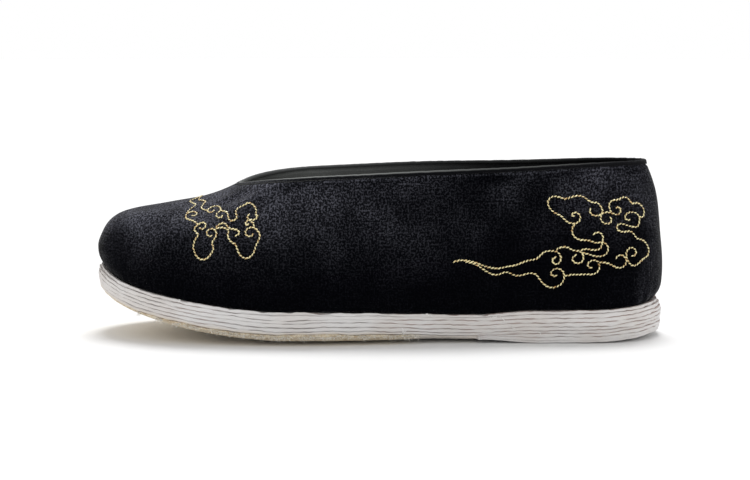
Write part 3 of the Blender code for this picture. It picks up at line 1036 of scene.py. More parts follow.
@dataclass(frozen=True)
class ClothUpper:
    """The black outer cloth and the grey lining that together stand for the part's upper."""

    form: ShoeForm
    around: int = 480
    rows: int = 60
    cloth: float = 0.9 * MM
    lining: float = 0.8 * MM
    hem_round: float = 1.1 * MM
    rim_recess: float = 0.6 * MM
    under_tape: float = 2.9 * MM
    below_crown: float = 0.8 * MM
    pucker: float = 0.22 * MM
    slack: float = 0.40 * MM
    pucker_wave: Ripple = Ripple(11, 11 * MM, 5 * MM)
    slack_wave: Ripple = Ripple(12, 90 * MM, 28 * MM, 9)
    pucker_height: float = 7 * MM
    back_lift: float = 0.8 * MM
    back_lift_ends: tuple[float, float] = (0.08, 0.30)
    tuck_rise: float = 0.17
    lining_foot_rise: float = 0.12
    tape_lap: float = 0.4 * MM
    tape_play: float = 0.3 * MM
    layer_gap: float = 0.1 * MM

    def rise_under_tape(self, turn: np.ndarray) -> np.ndarray:
        """The rise a little below the tape's lower edge, where the rim starts."""
        share = 0.1
        last = self.form.wall(turn, np.ones_like(turn)) - self.form.wall(turn, np.full_like(turn, 1 - share))
        return 1 - share * (self.under_tape + self.tape_play) / np.linalg.norm(last, axis=1)

    def relief(self, turn: np.ndarray, rise: np.ndarray, height: np.ndarray) -> np.ndarray:
        """How far the cloth stands off its smooth form.

        Args:
            turn: the places round the shoe.
            rise: the places up the wall.
            height: how far up from the feather line they are, in metres.

        Returns:
            The offset along the normal at each place.
        """
        fade = np.exp(-height / self.pucker_height)
        pucker = self.pucker_wave.read(self.form, turn) * fade * self.pucker
        broad = self.slack_wave.read(self.form, turn, height) * self.slack
        broad *= ease(0.0, 0.25, rise) * (1 - ease(0.85, 1.0, rise))
        return pucker + broad

    def skin(self, turn: np.ndarray, share: np.ndarray, depth: np.ndarray) -> np.ndarray:
        """Points inside the cloth wall, below the tape.

        Args:
            turn: the places round the shoe.
            share: the places up the wall, 0 at the feather line and 1 at the tape.
            depth: how far in from the outside they are.

        Returns:
            Rows of x, y and z.
        """
        rise = share * self.rise_under_tape(turn)
        point = self.form.wall(turn, rise)
        normal = self.form.wall_normal(turn, rise)
        height = np.linalg.norm(point - self.form.on_sole(turn, self.form.feather_inset), axis=1)
        hem = np.clip(1 - height / self.hem_round, 0.0, 1.0)
        tuck = self.hem_round * (1 - np.sqrt(1 - hem**2)) * (depth < self.cloth / 2)
        drawn_in = HEM_TUCK.at(self.form.along(turn))
        offset = self.relief(turn, rise, height) - depth - tuck
        offset -= drawn_in * (1 - ease(0.0, self.tuck_rise, rise))
        point = point + normal * offset[:, None]
        foot = self.form.on_sole(turn, self.form.feather_inset + drawn_in)
        inner = self.form.on_sole(turn, self.form.feather_inset + self.form.upper_wall + drawn_in)
        foot = foot + (inner - foot) * (depth / self.form.upper_wall)[:, None]
        low = (1 - ease(0.0, self.lining_foot_rise, rise)) * (depth > self.cloth / 2)
        return point + (foot - point) * low[:, None]

    def rim(self, turn: np.ndarray, below: np.ndarray, depth: np.ndarray) -> np.ndarray:
        """Points of the wall's rim under the tape.

        Args:
            turn: the places round the shoe.
            below: how far under the crown they are.
            depth: how far in from the outside they are.

        Returns:
            Rows of x, y and z.
        """
        crown, down, out = self.crown_frame(turn)
        return crown + down * below[:, None] - out * depth[:, None]

    def crown_frame(self, turn: np.ndarray) -> tuple[np.ndarray, np.ndarray, np.ndarray]:
        """At the collar: the crown line, the way down the wall and the way out of it."""
        crown = self.form.wall(turn, np.ones_like(turn))
        crown[:, 2] += self.back_lift * (1 - ease(*self.back_lift_ends, self.form.along(turn)))
        down = unit(self.form.wall(turn, self.rise_under_tape(turn)) - crown)
        out = self.form.wall_normal(turn, np.ones_like(turn))
        return crown, down, unit(out - down * np.sum(out * down, axis=1)[:, None])

    def build_layer(
        self,
        name: str,
        outside: float,
        inside: float,
        rim_depths: tuple[float, float],
        fine_side: Side,
        material: bpy.types.Material,
    ) -> bpy.types.Object:
        """Builds one layer of cloth as a closed shell.

        Args:
            name: the piece's name.
            outside: depth of its outer face in the wall.
            inside: depth of its inner face in the wall.
            rim_depths: the same two depths under the tape.
            fine_side: which face is seen and gets all the rows.
            material: its finish.

        Returns:
            The piece.
        """
        fine = np.concatenate(((0.0, 0.003, 0.007, 0.012, 0.019, 0.028), np.linspace(0.04, 1.0, self.rows)))
        coarse = np.linspace(0.0, 1.0, self.rows // 3)
        up, back = (fine, coarse) if fine_side is Side.OUTER else (coarse, fine)
        rim_foot = self.under_tape - self.tape_lap
        section = [(share, None, outside) for share in up]
        section += [(None, below, rim_depths[0]) for below in (rim_foot, self.below_crown)]
        section += [(None, below, rim_depths[1]) for below in (self.below_crown, rim_foot)]
        section += [(share, None, inside) for share in back[::-1]]
        section.append(section[0])

        def place(column: np.ndarray, row: np.ndarray) -> np.ndarray:
            """Lays the shell's grid on the wall."""
            turn = column / self.around
            points = np.empty((len(turn), 3))
            for number, (share, below, depth) in enumerate(section):
                here = row == number
                spots = turn[here]
                depths = np.full_like(spots, depth)
                if below is None:
                    points[here] = self.skin(spots, np.full_like(spots, share), depths)
                else:
                    points[here] = self.rim(spots, np.full_like(spots, below), depths)
            return points

        mesh = bmesh.new()
        lay_grid(mesh, self.around, len(section) - 1, place)
        weld(mesh)
        return make_piece(name, mesh, material, ("upper",))

    def build(self) -> bpy.types.Object:
        """Builds the outer cloth and the lining, and returns the outer cloth."""
        wall = self.form.upper_wall
        middle, half_gap = wall / 2, self.layer_gap / 2
        outer = self.build_layer(
            "outer_cloth", 0.0, self.cloth, (self.rim_recess, middle - half_gap),
            Side.OUTER, BLACK_CLOTH.material(),
        )
        self.build_layer(
            "grey_lining_cloth", wall - self.lining, wall, (middle + half_gap, wall - self.rim_recess),
            Side.INNER, GREY_LINING.material(),
        )
        return outer


@dataclass(frozen=True)
class CollarTape:
    """The bias tape folded over the collar."""

    upper: ClothUpper
    width: float = 2.4 * MM
    inner_width: float = 1.25 * MM
    rolled_past: float = 1.13 * MM
    # The crown's painted highlight: its colour, and how much of it the far side keeps
    painted_crown_highlight: Colour = (0.270, 0.280, 0.272)
    far_highlight_share: float = 0.30
    thickness: float = 0.45 * MM
    proud: float = 0.2 * MM
    arch: float = 1.0 * MM
    arch_steps: int = 8
    edge_wave: Ripple = Ripple(21, 30 * MM, 9 * MM)
    edge_wander: float = 0.06
    edge_from: float = 1.5 * MM
    lump_wave: Ripple = Ripple(22, 12 * MM, 4 * MM)
    lump_height: float = 0.05 * MM
    around: int = 560

    def section(self) -> list[tuple[float, float]]:
        """Depth and distance below the crown of each point round the tape's section."""
        wall = self.upper.form.upper_wall
        middle, half = wall / 2, wall / 2 + self.proud
        arch = self.arch
        outer = [(middle - half, self.width), (middle - half - 0.05 * MM, self.width * 0.7)]
        for i in range(self.arch_steps + 1):
            angle = math.pi * i / self.arch_steps
            outer.append((middle - half * math.cos(angle), arch - arch * math.sin(angle)))
        outer += [(middle + half, self.inner_width)]
        inner_half = half - self.thickness
        inner = [(middle + inner_half, self.inner_width), (middle + inner_half, arch)]
        inner += [(middle, self.thickness), (middle - inner_half, arch), (middle - inner_half, self.width)]
        return outer + inner

    def build(self) -> bpy.types.Object:
        """Builds the tape as one closed ring."""
        section = self.section()
        section.append(section[0])
        depths, belows = np.array(section).T
        form = self.upper.form

        def place(column: np.ndarray, row: np.ndarray) -> np.ndarray:
            """Lays the tape's grid along the crown."""
            turn = column / self.around
            crown, down, out = self.upper.crown_frame(turn)
            uneven = 1 + self.edge_wander * self.edge_wave.read(form, turn)
            below = belows[row] * np.where(belows[row] > self.edge_from, uneven, 1.0)
            lump = self.lump_wave.read(form, turn) * self.lump_height
            return crown + down * (below - lump)[:, None] - out * depths[row][:, None]

        mesh = bmesh.new()
        rolled_layer = mesh.verts.layers.float.new("rolled")
        verts, columns, rows = lay_grid(mesh, self.around, len(section) - 1, place)
        # Painted highlight on the rolled-over crown: full on the near side, weaker on the far side and fading
        # towards the heel
        rolled = depths[rows] > form.upper_wall / 2 - self.rolled_past
        near = 0.5 + 0.5 * np.sin(2 * np.pi * columns / self.around)
        highlight_share = self.far_highlight_share + (1 - self.far_highlight_share) * ease(0.3, 0.7, near)
        highlight_share = highlight_share * ease(0.07, 0.24, form.along(columns / self.around))
        for vert, share in zip(verts, rolled * highlight_share):
            vert[rolled_layer] = share
        weld(mesh)
        finish = BLACK_TAPE.material(crown_highlight_colour=self.painted_crown_highlight)
        return make_piece("collar_tape", mesh, finish, ("collar_binding",))


@dataclass(frozen=True)
class Viewpoint:
    """Where the photograph was taken from, and how it frames the shoe."""

    place: tuple[float, float, float] = (-0.00195, -1.0, 0.155)
    drop: float = 0.110
    lens: float = 98.85
    sensor: float = 36.0
    picture_width: float = 750.0
    picture_height: float = 480.0

    @property
    def pitch(self) -> float:
        """How far it looks down, in radians."""
        return math.atan2(self.drop, -self.place[1])

    def direction(self, across: float, down: float) -> Vector:
        """The way that a pixel of the picture looks.

        Args:
            across: pixels from the picture's left edge.
            down: pixels from its top edge.

        Returns:
            A unit vector.
        """
        reach = self.lens / self.sensor * self.picture_width
        right = (across - self.picture_width / 2) / reach
        up = (self.picture_height / 2 - down) / reach
        ahead = Vector((0.0, math.cos(self.pitch), -math.sin(self.pitch)))
        above = Vector((0.0, math.sin(self.pitch), math.cos(self.pitch)))
        return (ahead + above * up + Vector((right, 0.0, 0.0))).normalized()

    def find(self, surface: BVHTree, across: float, down: float) -> Vector:
        """The place on a surface that a pixel of the picture shows, or the nearest one.

        Args:
            surface: the surface's faces.
            across: pixels from the picture's left edge.
            down: pixels from its top edge.

        Returns:
            The place.
        """
        eye = Vector(self.place)
        way = self.direction(across, down)
        hit = surface.ray_cast(eye, way)[0]
        if hit is None:
            hit = surface.find_nearest(eye + way * (-self.place[1] / way.y))[0]
        return hit

    def build(self) -> None:
        """Builds the camera."""
        data = bpy.data.cameras.new("viewpoint")
        data.lens = self.lens
        data.sensor_width = self.sensor
        data.clip_end = 100.0
        camera = bpy.data.objects.new("viewpoint", data)
        camera.location = self.place
        camera.rotation_euler = (math.pi / 2 - self.pitch, 0.0, 0.0)
        bpy.context.scene.collection.objects.link(camera)
        bpy.context.scene.camera = camera


@dataclass(frozen=True)
class Drawing:
    """A drawn motif: strokes in drawing units, from the drawing's upper left corner.

    left and top are that corner's place in the photograph, in pixels, and scale is how many
    drawing units a pixel has.
    """

    left: float
    top: float
    scale: float
    strokes: tuple[tuple[tuple[int, int], ...], ...]


SIDE_CLOUD = Drawing(440.0, 190.0, 7.127, (
    ((92, 512), (150, 500), (200, 505), (250, 515), (310, 540), (370, 555), (425, 558), (480, 545),
     (540, 535), (590, 515), (640, 500), (690, 490), (720, 460), (755, 437), (825, 437), (855, 460),
     (862, 490), (850, 520), (825, 532), (803, 515), (800, 490), (830, 478)),
    ((825, 430), (850, 412), (890, 405), (925, 415), (945, 430), (1000, 437), (1020, 465), (1020, 500),
     (1000, 520), (970, 522), (945, 505), (943, 480), (975, 460)),
    ((1000, 430), (1040, 420), (1090, 428), (1130, 425), (1150, 405), (1155, 370)),
    ((1010, 445), (1060, 458), (1110, 472), (1150, 472), (1185, 455), (1198, 420), (1190, 390),
     (1155, 370), (1125, 378), (1090, 372), (1060, 358), (1020, 358), (980, 350), (950, 325),
     (940, 290), (945, 262), (965, 240)),
    ((1155, 370), (1163, 340), (1150, 310), (1125, 300), (1088, 318)),
    ((965, 240), (990, 225), (1002, 198), (990, 170), (965, 160), (940, 168), (938, 185), (962, 190)),
    ((965, 240), (920, 235), (885, 210), (865, 185), (820, 165), (785, 135), (768, 100), (775, 65),
     (810, 45), (850, 52), (895, 65), (940, 50), (985, 42), (1020, 48), (1050, 70), (1085, 92),
     (1115, 88), (1140, 110), (1158, 145), (1152, 170), (1130, 182), (1100, 185), (1075, 170),
     (1065, 150), (1075, 130)),
    ((1150, 175), (1142, 205), (1155, 230), (1185, 242), (1215, 235), (1222, 210), (1210, 190)),
    ((1150, 172), (1175, 160), (1210, 160), (1240, 172), (1265, 178), (1285, 160), (1285, 130),
     (1265, 120), (1250, 128)),
    ((1222, 160), (1205, 130), (1207, 95), (1225, 75), (1270, 70), (1290, 58), (1315, 50), (1345, 65),
     (1365, 98), (1405, 92), (1435, 115), (1452, 150), (1445, 190), (1420, 195), (1405, 170),
     (1370, 158), (1335, 165), (1315, 190), (1325, 215), (1357, 212)),
    ((1420, 195), (1418, 225), (1408, 258), (1385, 265), (1340, 255), (1290, 240), (1262, 250),
     (1258, 275), (1275, 292), (1310, 300), (1350, 292), (1378, 310), (1400, 345), (1440, 355),
     (1470, 385), (1485, 425), (1478, 465), (1445, 490), (1420, 515), (1385, 540), (1355, 530),
     (1335, 500), (1325, 470), (1330, 435), (1355, 410), (1385, 418), (1397, 445), (1385, 468),
     (1360, 468)),
    ((1250, 490), (1270, 465), (1300, 465), (1325, 490), (1325, 520), (1305, 548), (1275, 555),
     (1250, 550), (1215, 530), (1170, 515), (1135, 517), (1110, 500), (1085, 500), (1055, 520),
     (1050, 545), (1085, 557)),
    ((1130, 520), (1138, 550), (1125, 580), (1095, 600), (1050, 600), (1000, 602), (940, 603),
     (885, 612), (880, 585), (855, 562), (820, 560), (790, 585), (795, 610), (835, 612)),
    ((885, 612), (878, 650), (850, 680), (800, 695), (760, 685), (720, 650), (690, 605), (660, 592),
     (625, 595), (590, 605), (545, 612), (515, 600), (490, 588), (460, 585), (420, 602), (400, 605),
     (370, 600), (330, 580), (280, 545), (230, 520), (180, 510)),
))

VAMP_CLOUD = Drawing(175.0, 185.0, 15.68, (
    ((430, 170), (340, 210), (250, 245), (240, 270), (320, 305), (320, 325), (290, 350), (215, 410),
     (190, 450), (170, 500), (190, 540), (270, 560), (320, 585), (370, 625), (390, 600), (440, 590),
     (485, 605), (485, 650), (450, 695), (410, 695), (380, 665)),
    ((195, 450), (240, 430), (300, 425), (345, 445), (335, 475), (300, 492), (262, 482)),
    ((370, 625), (330, 650), (300, 690), (320, 735), (370, 775), (350, 815), (310, 860), (300, 920),
     (285, 960), (300, 1030), (345, 1125), (400, 1165), (480, 1165), (540, 1115), (580, 1060),
     (605, 1000), (600, 950), (575, 920), (610, 860), (640, 810), (655, 750), (625, 700), (590, 685),
     (530, 700), (490, 745), (510, 790), (545, 810), (590, 795)),
    ((640, 690), (650, 660), (700, 615), (760, 597), (800, 610), (825, 660), (880, 690), (940, 695),
     (1000, 720), (1015, 760), (980, 790), (935, 800)),
    ((650, 685), (700, 672), (760, 668), (810, 690), (850, 715), (830, 760), (830, 810), (860, 870),
     (910, 910), (960, 940), (975, 1000), (1000, 1070), (1040, 1120), (1100, 1150), (1160, 1140),
     (1220, 1090), (1255, 1010), (1270, 950), (1310, 870), (1335, 800), (1315, 740), (1280, 700),
     (1240, 665), (1190, 665), (1130, 690), (1100, 740), (1120, 790), (1160, 815), (1200, 800),
     (1235, 765)),
    ((1240, 660), (1235, 610), (1200, 575), (1160, 545), (1110, 590), (1095, 610), (1110, 630),
     (1165, 620)),
    ((1215, 555), (1160, 545), (1130, 520), (1125, 500), (1150, 470), (1180, 460)),
    ((1215, 555), (1250, 550), (1290, 515), (1290, 480), (1265, 465), (1280, 420), (1265, 370),
     (1235, 320), (1190, 290), (1130, 285), (1090, 320), (1030, 345), (970, 380), (955, 430),
     (960, 470), (980, 505), (950, 545), (890, 570), (850, 550), (830, 510), (835, 460), (800, 420),
     (765, 415), (720, 410), (720, 380), (690, 340), (640, 335), (590, 345), (545, 370), (510, 405),
     (520, 430), (560, 438), (600, 425), (620, 395)),
    ((720, 410), (670, 440), (645, 475), (660, 510), (710, 520), (750, 505), (755, 480)),
    ((510, 405), (460, 395), (415, 370), (430, 330), (465, 290), (480, 265), (430, 245), (370, 240),
     (390, 205), (430, 170)),
))


@dataclass(frozen=True)
class CloudEmbroidery:
    """Gold rope stitches that follow a drawn motif over the cloth."""

    name: str
    drawing: Drawing
    view: Viewpoint
    seed: int
    pitch: float = 1.70 * MM
    stitch_length: float = 1.95 * MM
    stitch_width: float = 0.74 * MM
    stitch_height: float = 0.62 * MM
    sunk: float = 0.08 * MM
    slant: float = math.radians(20.0)
    slant_spread: float = 0.10
    size_spread: float = 0.12
    curve_steps: int = 8

    def on_cloth(self, cloth: BVHTree, point: tuple[int, int]) -> Vector:
        """Finds a drawn point on the cloth.

        Args:
            cloth: the outer cloth's faces.
            point: the point in drawing units.

        Returns:
            Its place on the cloth, or the nearest one where the drawing passes over the ridge.
        """
        across = self.drawing.left + point[0] / self.drawing.scale
        down = self.drawing.top + point[1] / self.drawing.scale
        return self.view.find(cloth, across, down)

    def path(self, cloth: BVHTree, stroke: tuple[tuple[int, int], ...]) -> list[Vector]:
        """A stroke's smooth line over the cloth, with points a pitch apart."""
        ends = [self.on_cloth(cloth, point) for point in stroke]
        ends = [ends[0] * 2 - ends[1], *ends, ends[-1] * 2 - ends[-2]]
        dense = []
        for before, start, stop, after in zip(ends, ends[1:], ends[2:], ends[3:]):
            for t in np.linspace(0.0, 1.0, self.curve_steps, endpoint=False):
                bend = (stop - before) * t + (before * 2 - start * 5 + stop * 4 - after) * t * t
                bend += (start * 3 - before - stop * 3 + after) * t**3
                dense.append(start + bend / 2)
        dense.append(ends[-2])
        spots = np.array(dense)
        walked = walk(spots)
        count = max(2, round(walked[-1] / self.pitch))
        wanted = np.linspace(0.0, walked[-1], count + 1)
        return [Vector(spot) for spot in resample(spots, walked, wanted)]

    def build(self, outer: bpy.types.Object) -> bpy.types.Object:
        """Lays the stitches on the outer cloth.

        Args:
            outer: the outer cloth.

        Returns:
            The embroidery as one piece.
        """
        cloth = BVHTree.FromObject(outer, bpy.context.evaluated_depsgraph_get())
        draw = random.Random(self.seed)
        mesh = bmesh.new()
        for stroke in self.drawing.strokes:
            points = self.path(cloth, stroke)
            for start, stop in zip(points, points[1:]):
                middle, normal, _, _ = cloth.find_nearest((start + stop) / 2)
                tangent = (stop - start).normalized()
                cross = normal.cross(tangent).normalized()
                turned = self.slant + draw.uniform(-self.slant_spread, self.slant_spread)
                lengthwise = tangent * math.cos(turned) + cross * math.sin(turned)
                sideways = normal.cross(lengthwise).normalized()
                lengthwise = sideways.cross(normal).normalized()
                size = draw.uniform(1 - self.size_spread, 1 + self.size_spread)
                axes = Matrix((
                    lengthwise * self.stitch_length / 2 * size,
                    sideways * self.stitch_width / 2 * size,
                    normal * self.stitch_height / 2 * size,
                )).transposed().to_4x4()
                lifted = middle + normal * (self.stitch_height / 2 - self.sunk + draw.uniform(0, 0.06) * MM)
                bmesh.ops.create_uvsphere(
                    mesh, u_segments=6, v_segments=4, radius=1.0,
                    matrix=Matrix.Translation(lifted) @ axes,
                )
        return make_piece(self.name, mesh, GOLD_THREAD.material(), sharp_degrees=180.0)


@dataclass(frozen=True)
class Notch:
    """A place where the sewing pulls the sole's upper edge down, on one side of the shoe."""

    x: float
    depth: float
    width: float


EDGE_NOTCHES = (
    Notch(-92.0 * MM, 0.65 * MM, 1.6 * MM),
    Notch(-69.0 * MM, 0.55 * MM, 2.4 * MM),
    Notch(-54.2 * MM, 0.60 * MM, 2.0 * MM),
    Notch(-41.6 * MM, 0.55 * MM, 2.6 * MM),
    Notch(-27.0 * MM, 1.20 * MM, 5.0 * MM),
    Notch(-12.0 * MM, 0.40 * MM, 4.0 * MM),
    Notch(3.0 * MM, 0.35 * MM, 3.0 * MM),
    Notch(12.0 * MM, 0.40 * MM, 4.0 * MM),
    Notch(34.0 * MM, 0.55 * MM, 5.0 * MM),
    Notch(50.0 * MM, 0.80 * MM, 2.4 * MM),
    Notch(84.0 * MM, 0.25 * MM, 4.0 * MM),
)


# How far each boundary between plies lies below its even place at the rim, in millimetres
BOUNDARY_DROPS = Curve((
    # along  1  2  3  4  5  6
    (0.00, -0.10, 0.00, 0.10, 0.10, 0.10, 0.00),
    (0.15, -0.30, 0.00, 0.30, 0.40, 0.35, 0.10),
    (0.30, -0.10, -0.10, 0.20, 0.40, 0.40, 0.10),
    (0.38, 0.00, -0.40, 0.30, 0.60, 0.70, 0.30),
    (0.48, 0.00, -0.10, 0.00, 0.30, 0.40, 0.10),
    (0.575, -0.10, 0.20, -0.50, 0.10, 0.35, -0.25),
    (0.633, -0.10, 0.65, 0.20, 0.50, 0.50, -0.20),
    (0.75, 0.00, 0.20, 0.10, 0.10, 0.20, 0.00),
    (1.00, 0.00, 0.00, 0.00, 0.00, 0.00, 0.00),
))

# How open each boundary is at the rim, from 0, pressed shut, to 1
BOUNDARY_OPENNESS = Curve((
    # along  0  1  2  3  4  5  6  7  8  9
    (0.00, 1.0, 0.8, 1.0, 0.9, 1.0, 0.9, 1.0, 0.8, 0.2, 1.0),
    (0.15, 1.0, 0.6, 0.9, 1.0, 0.8, 1.0, 0.9, 0.7, 0.15, 1.0),
    (0.30, 1.0, 0.4, 1.0, 0.9, 0.7, 0.8, 0.7, 0.6, 0.25, 1.0),
    (0.38, 1.0, 0.1, 1.0, 1.0, 0.9, 0.7, 0.5, 0.5, 0.3, 1.0),
    (0.48, 1.0, 0.3, 0.7, 1.0, 0.8, 0.8, 0.6, 0.5, 0.3, 1.0),
    (0.575, 1.0, 0.4, 0.1, 1.0, 1.0, 0.7, 0.5, 0.5, 0.3, 1.0),
    (0.633, 1.0, 0.3, 1.0, 0.6, 1.0, 0.8, 0.6, 0.5, 0.3, 1.0),
    (0.75, 1.0, 0.7, 0.8, 0.5, 1.0, 0.7, 0.9, 0.5, 0.3, 1.0),
    (0.88, 1.0, 0.9, 0.7, 1.0, 0.8, 1.0, 0.9, 0.5, 0.3, 1.0),
    (1.00, 1.0, 1.0, 1.0, 0.8, 1.0, 0.9, 1.0, 0.5, 0.3, 1.0),
))


@dataclass(frozen=True)
class LayerLoop:
    """The closed outline of a layer of the sole, from the middle of its back round the outer side.

    on_rim is 1 where the outline follows the shoe's rim and 0 on the layer's straight end.
    """

    points: np.ndarray
    turns: np.ndarray
    on_rim: np.ndarray

    @classmethod
    def cut(
        cls, form: ShoeForm, start: float, end: float, count: int, inset: Callable[[np.ndarray], np.ndarray]
    ) -> "LayerLoop":
        """Makes the outline of a layer that reaches from one share of the length to another.

        Args:
            form: the shoe's form.
            start: where it starts, 0 at the back of the heel.
            end: where it ends, 1 at the toe.
            count: how many points it has, an even number.
            inset: gives how far inside the shoe's outline it is at shares of the length.

        Returns:
            The outline.
        """
        first = math.acos(1 - 2 * start) / (2 * math.pi)
        last = math.acos(1 - 2 * end) / (2 * math.pi)
        turns = np.linspace(first, last, 800)
        side = form.edge(turns, inset(form.along(turns)))
        if start > 0:
            middle = np.array(((side[0][0], form.shift(form.along_of(side[0][0]))),))
            side, turns = np.vstack((middle, side)), np.concatenate(((turns[0],), turns))
        if end < 1:
            middle = np.array(((side[-1][0], form.shift(form.along_of(side[-1][0]))),))
            side, turns = np.vstack((side, middle)), np.concatenate((turns, (turns[-1],)))
        walked = walk(side)
        wanted = np.linspace(0.0, walked[-1], count // 2 + 1)
        half = resample(side, walked, wanted)
        half_turns = np.interp(wanted, walked, turns)
        rim = np.ones_like(wanted)
        corner = 4 * MM
        if start > 0:
            rim *= ease(walked[1], walked[1] + corner, wanted)
        if end < 1:
            rim *= 1 - ease(walked[-2] - corner, walked[-2], wanted)
        mirrored = half[-2:0:-1].copy()
        mirrored[:, 1] = 2 * form.shift(form.along_of(mirrored[:, 0])) - mirrored[:, 1]
        points = np.vstack((half, mirrored))
        if start > 0 or end < 1:
            for _ in range(2):
                points = (np.roll(points, 1, axis=0) + 2 * points + np.roll(points, -1, axis=0)) / 4
        return cls(
            points,
            np.concatenate((half_turns, 1 - half_turns[-2:0:-1])),
            np.concatenate((rim, rim[-2:0:-1])),
        )

    @property
    def inward(self) -> np.ndarray:
        """Unit directions into the layer at each of its points."""
        tangent = unit(np.roll(self.points, -1, axis=0) - np.roll(self.points, 1, axis=0))
        return np.column_stack((tangent[:, 1], -tangent[:, 0]))


@dataclass(frozen=True)
class ClothSole:
    """The folded plies, the heel plies under them, the half sole and the sock lining."""

    form: ShoeForm
    around: int = 720
    across: int = 10
    taper: float = 1.6 * MM
    ply_taper: tuple[float, ...] = (0.44, 0.12, 0.00, 0.00, 0.19, 0.50)
    heel_taper: tuple[float, ...] = (0.10, 0.10, 0.15)
    leather_taper: float = 1.12
    heel_lean: tuple[float, ...] = (1.6, 1.0, 0.5, 0.2, 0.0, 0.0, 0.3, 0.7, 1.2)
    toe_lean: tuple[float, ...] = (1.0, 0.5, 0.2, 0.05, 0.0, -0.1, 0.0)
    edge_gap: float = 1.9 * MM
    rear_overlap: float = 1.6 * MM
    wave: float = 0.20 * MM
    rim_wave: float = 0.17 * MM
    first_inset: float = 0.10 * MM
    touch: float = 0.02 * MM
    heel_step_shown: float = 0.08
    trodden_share: float = 0.10
    trodden_wave: float = 0.4
    # How much of the painted crevice shade the lowest heel ply keeps along its lower edge
    lowest_crevice_shade: float = 0.2
    inner_notch_move: float = 6.5 * MM
    open_mean: float = 0.8
    open_spread: float = 0.42
    toe_closing: float = 0.80
    least_open: float = 0.08
    step_length: float = 24 * MM
    step_height: float = 0.6 * MM
    ragged: float = 0.34 * MM
    ragged_full_depth: float = 3.0 * MM
    sock_thickness: float = 3.0 * MM
    sock_hollow: float = 0.7 * MM
    sock_gap: float = 0.3 * MM

    # Round the rim of a ply: how far in from its edge, how far up, and how deep in the crevice, which sets
    # how much painted crevice shade it gets
    rim_section: tuple[tuple[float, float, float], ...] = (
        (2.6 * MM, 0.00, 1.0),
        (1.5 * MM, 0.00, 1.0),
        (0.70 * MM, 0.00, 1.0),
        (0.36 * MM, 0.03, 0.9),
        (0.17 * MM, 0.09, 0.6),
        (0.06 * MM, 0.20, 0.15),
        (0.01 * MM, 0.36, 0.0),
        (0.00 * MM, 0.52, 0.0),
        (0.02 * MM, 0.68, 0.0),
        (0.07 * MM, 0.82, 0.15),
        (0.18 * MM, 0.92, 0.6),
        (0.37 * MM, 0.97, 0.9),
        (0.70 * MM, 1.00, 1.0),
        (1.5 * MM, 1.00, 1.0),
        (2.6 * MM, 1.00, 1.0),
    )
    groove_rows: float = 0.75 * MM

    def loop(self, start: float, end: float, count: int, taper: float, level: int) -> LayerLoop:
        """The outline of a layer with its own inset.

        Args:
            start: where it starts, 0 at the back of the heel.
            end: where it ends, 1 at the toe.
            count: how many points it has.
            taper: its inset at the sides, as a share of the taper.
            level: how many plies are above it.

        Returns:
            The outline.
        """

        def inset(along: np.ndarray) -> np.ndarray:
            """The inset at shares of the length."""
            lean = self.heel_lean[level] * heel_share(along)
            if level < len(self.toe_lean):
                lean = lean + self.toe_lean[level] * toe_share(along)
            return taper * self.taper + lean * MM

        return LayerLoop.cut(self.form, start, end, count, inset)

    def boundary_wave(self, loop: LayerLoop, layer: int) -> np.ndarray:
        """How far a boundary between plies wanders up and down at the rim."""
        slow = Ripple(40 + layer, 70 * MM, 16 * MM).read(self.form, loop.turns) * self.wave
        quick = Ripple(60 + layer, 12 * MM, 3 * MM).read(self.form, loop.turns) * self.wave * 0.45
        total = slow + quick
        along = self.form.along(loop.turns)
        if 1 <= layer <= self.form.ply_count:
            total = total - BOUNDARY_DROPS.read(layer, along) * MM
        if layer == 0:
            total = quick * 1.2 + slow * 0.3
            for notch in EDGE_NOTCHES:
                for side, move in ((Side.OUTER, 0.0), (Side.INNER, self.inner_notch_move)):
                    near = np.exp(-(((loop.points[:, 0] - notch.x - move) / notch.width) ** 2))
                    total -= notch.depth * near * (self.form.side(loop.turns) == side.value)
        return total * loop.on_rim

    def openness(self, loop: LayerLoop, layer: int) -> np.ndarray:
        """How open a boundary is round the rim, from 0 to 1."""
        along = self.form.along(loop.turns)
        ripple = Ripple(120 + layer, 26 * MM, 8 * MM).read(self.form, loop.turns)
        uneven = (self.open_mean + self.open_spread * ripple) * (1 - self.toe_closing * toe_share(along))
        return np.clip(BOUNDARY_OPENNESS.read(layer + 1, along) * uneven, self.least_open, 1.0)

    def build_pad(
        self,
        name: str,
        loop: LayerLoop,
        heights: tuple[Callable[[np.ndarray], np.ndarray], Callable[[np.ndarray], np.ndarray]],
        waves: tuple[np.ndarray, np.ndarray],
        level: int,
        material: bpy.types.Material,
        stands_for: str,
        section: tuple[tuple[float, float, float], ...] | None = None,
    ) -> bpy.types.Object:
        """Builds one layer as a closed pad with a rolled rim.

        Args:
            name: the piece's name.
            loop: its outline.
            heights: the heights of its lower and upper faces over rows of x and y.
            waves: how far each face wanders at the rim, a value for each point of the loop.
            level: how many plies are above it.
            material: its finish.
            stands_for: the solid that it is shown in place of.
            section: the rim's section, if it isn't a ply's.

        Returns:
            The piece.
        """
        section = section or self.rim_section
        count = len(loop.points)
        inward = loop.inward
        swell = Ripple(80 + level, 26 * MM, 7 * MM).read(self.form, loop.turns) * self.rim_wave
        openness = [self.openness(loop, level + 1), self.openness(loop, level)]

        def open_share(k: np.ndarray, share: np.ndarray) -> np.ndarray:
            """How open the crevice is that each point of the rim belongs to."""
            return np.where(share < 0.5, openness[0][k], openness[1][k])

        def on_face(flat: np.ndarray, share: np.ndarray) -> np.ndarray:
            """Heights between the two faces over rows of x and y."""
            low, high = heights[0](flat), heights[1](flat)
            return low + (high - low) * share

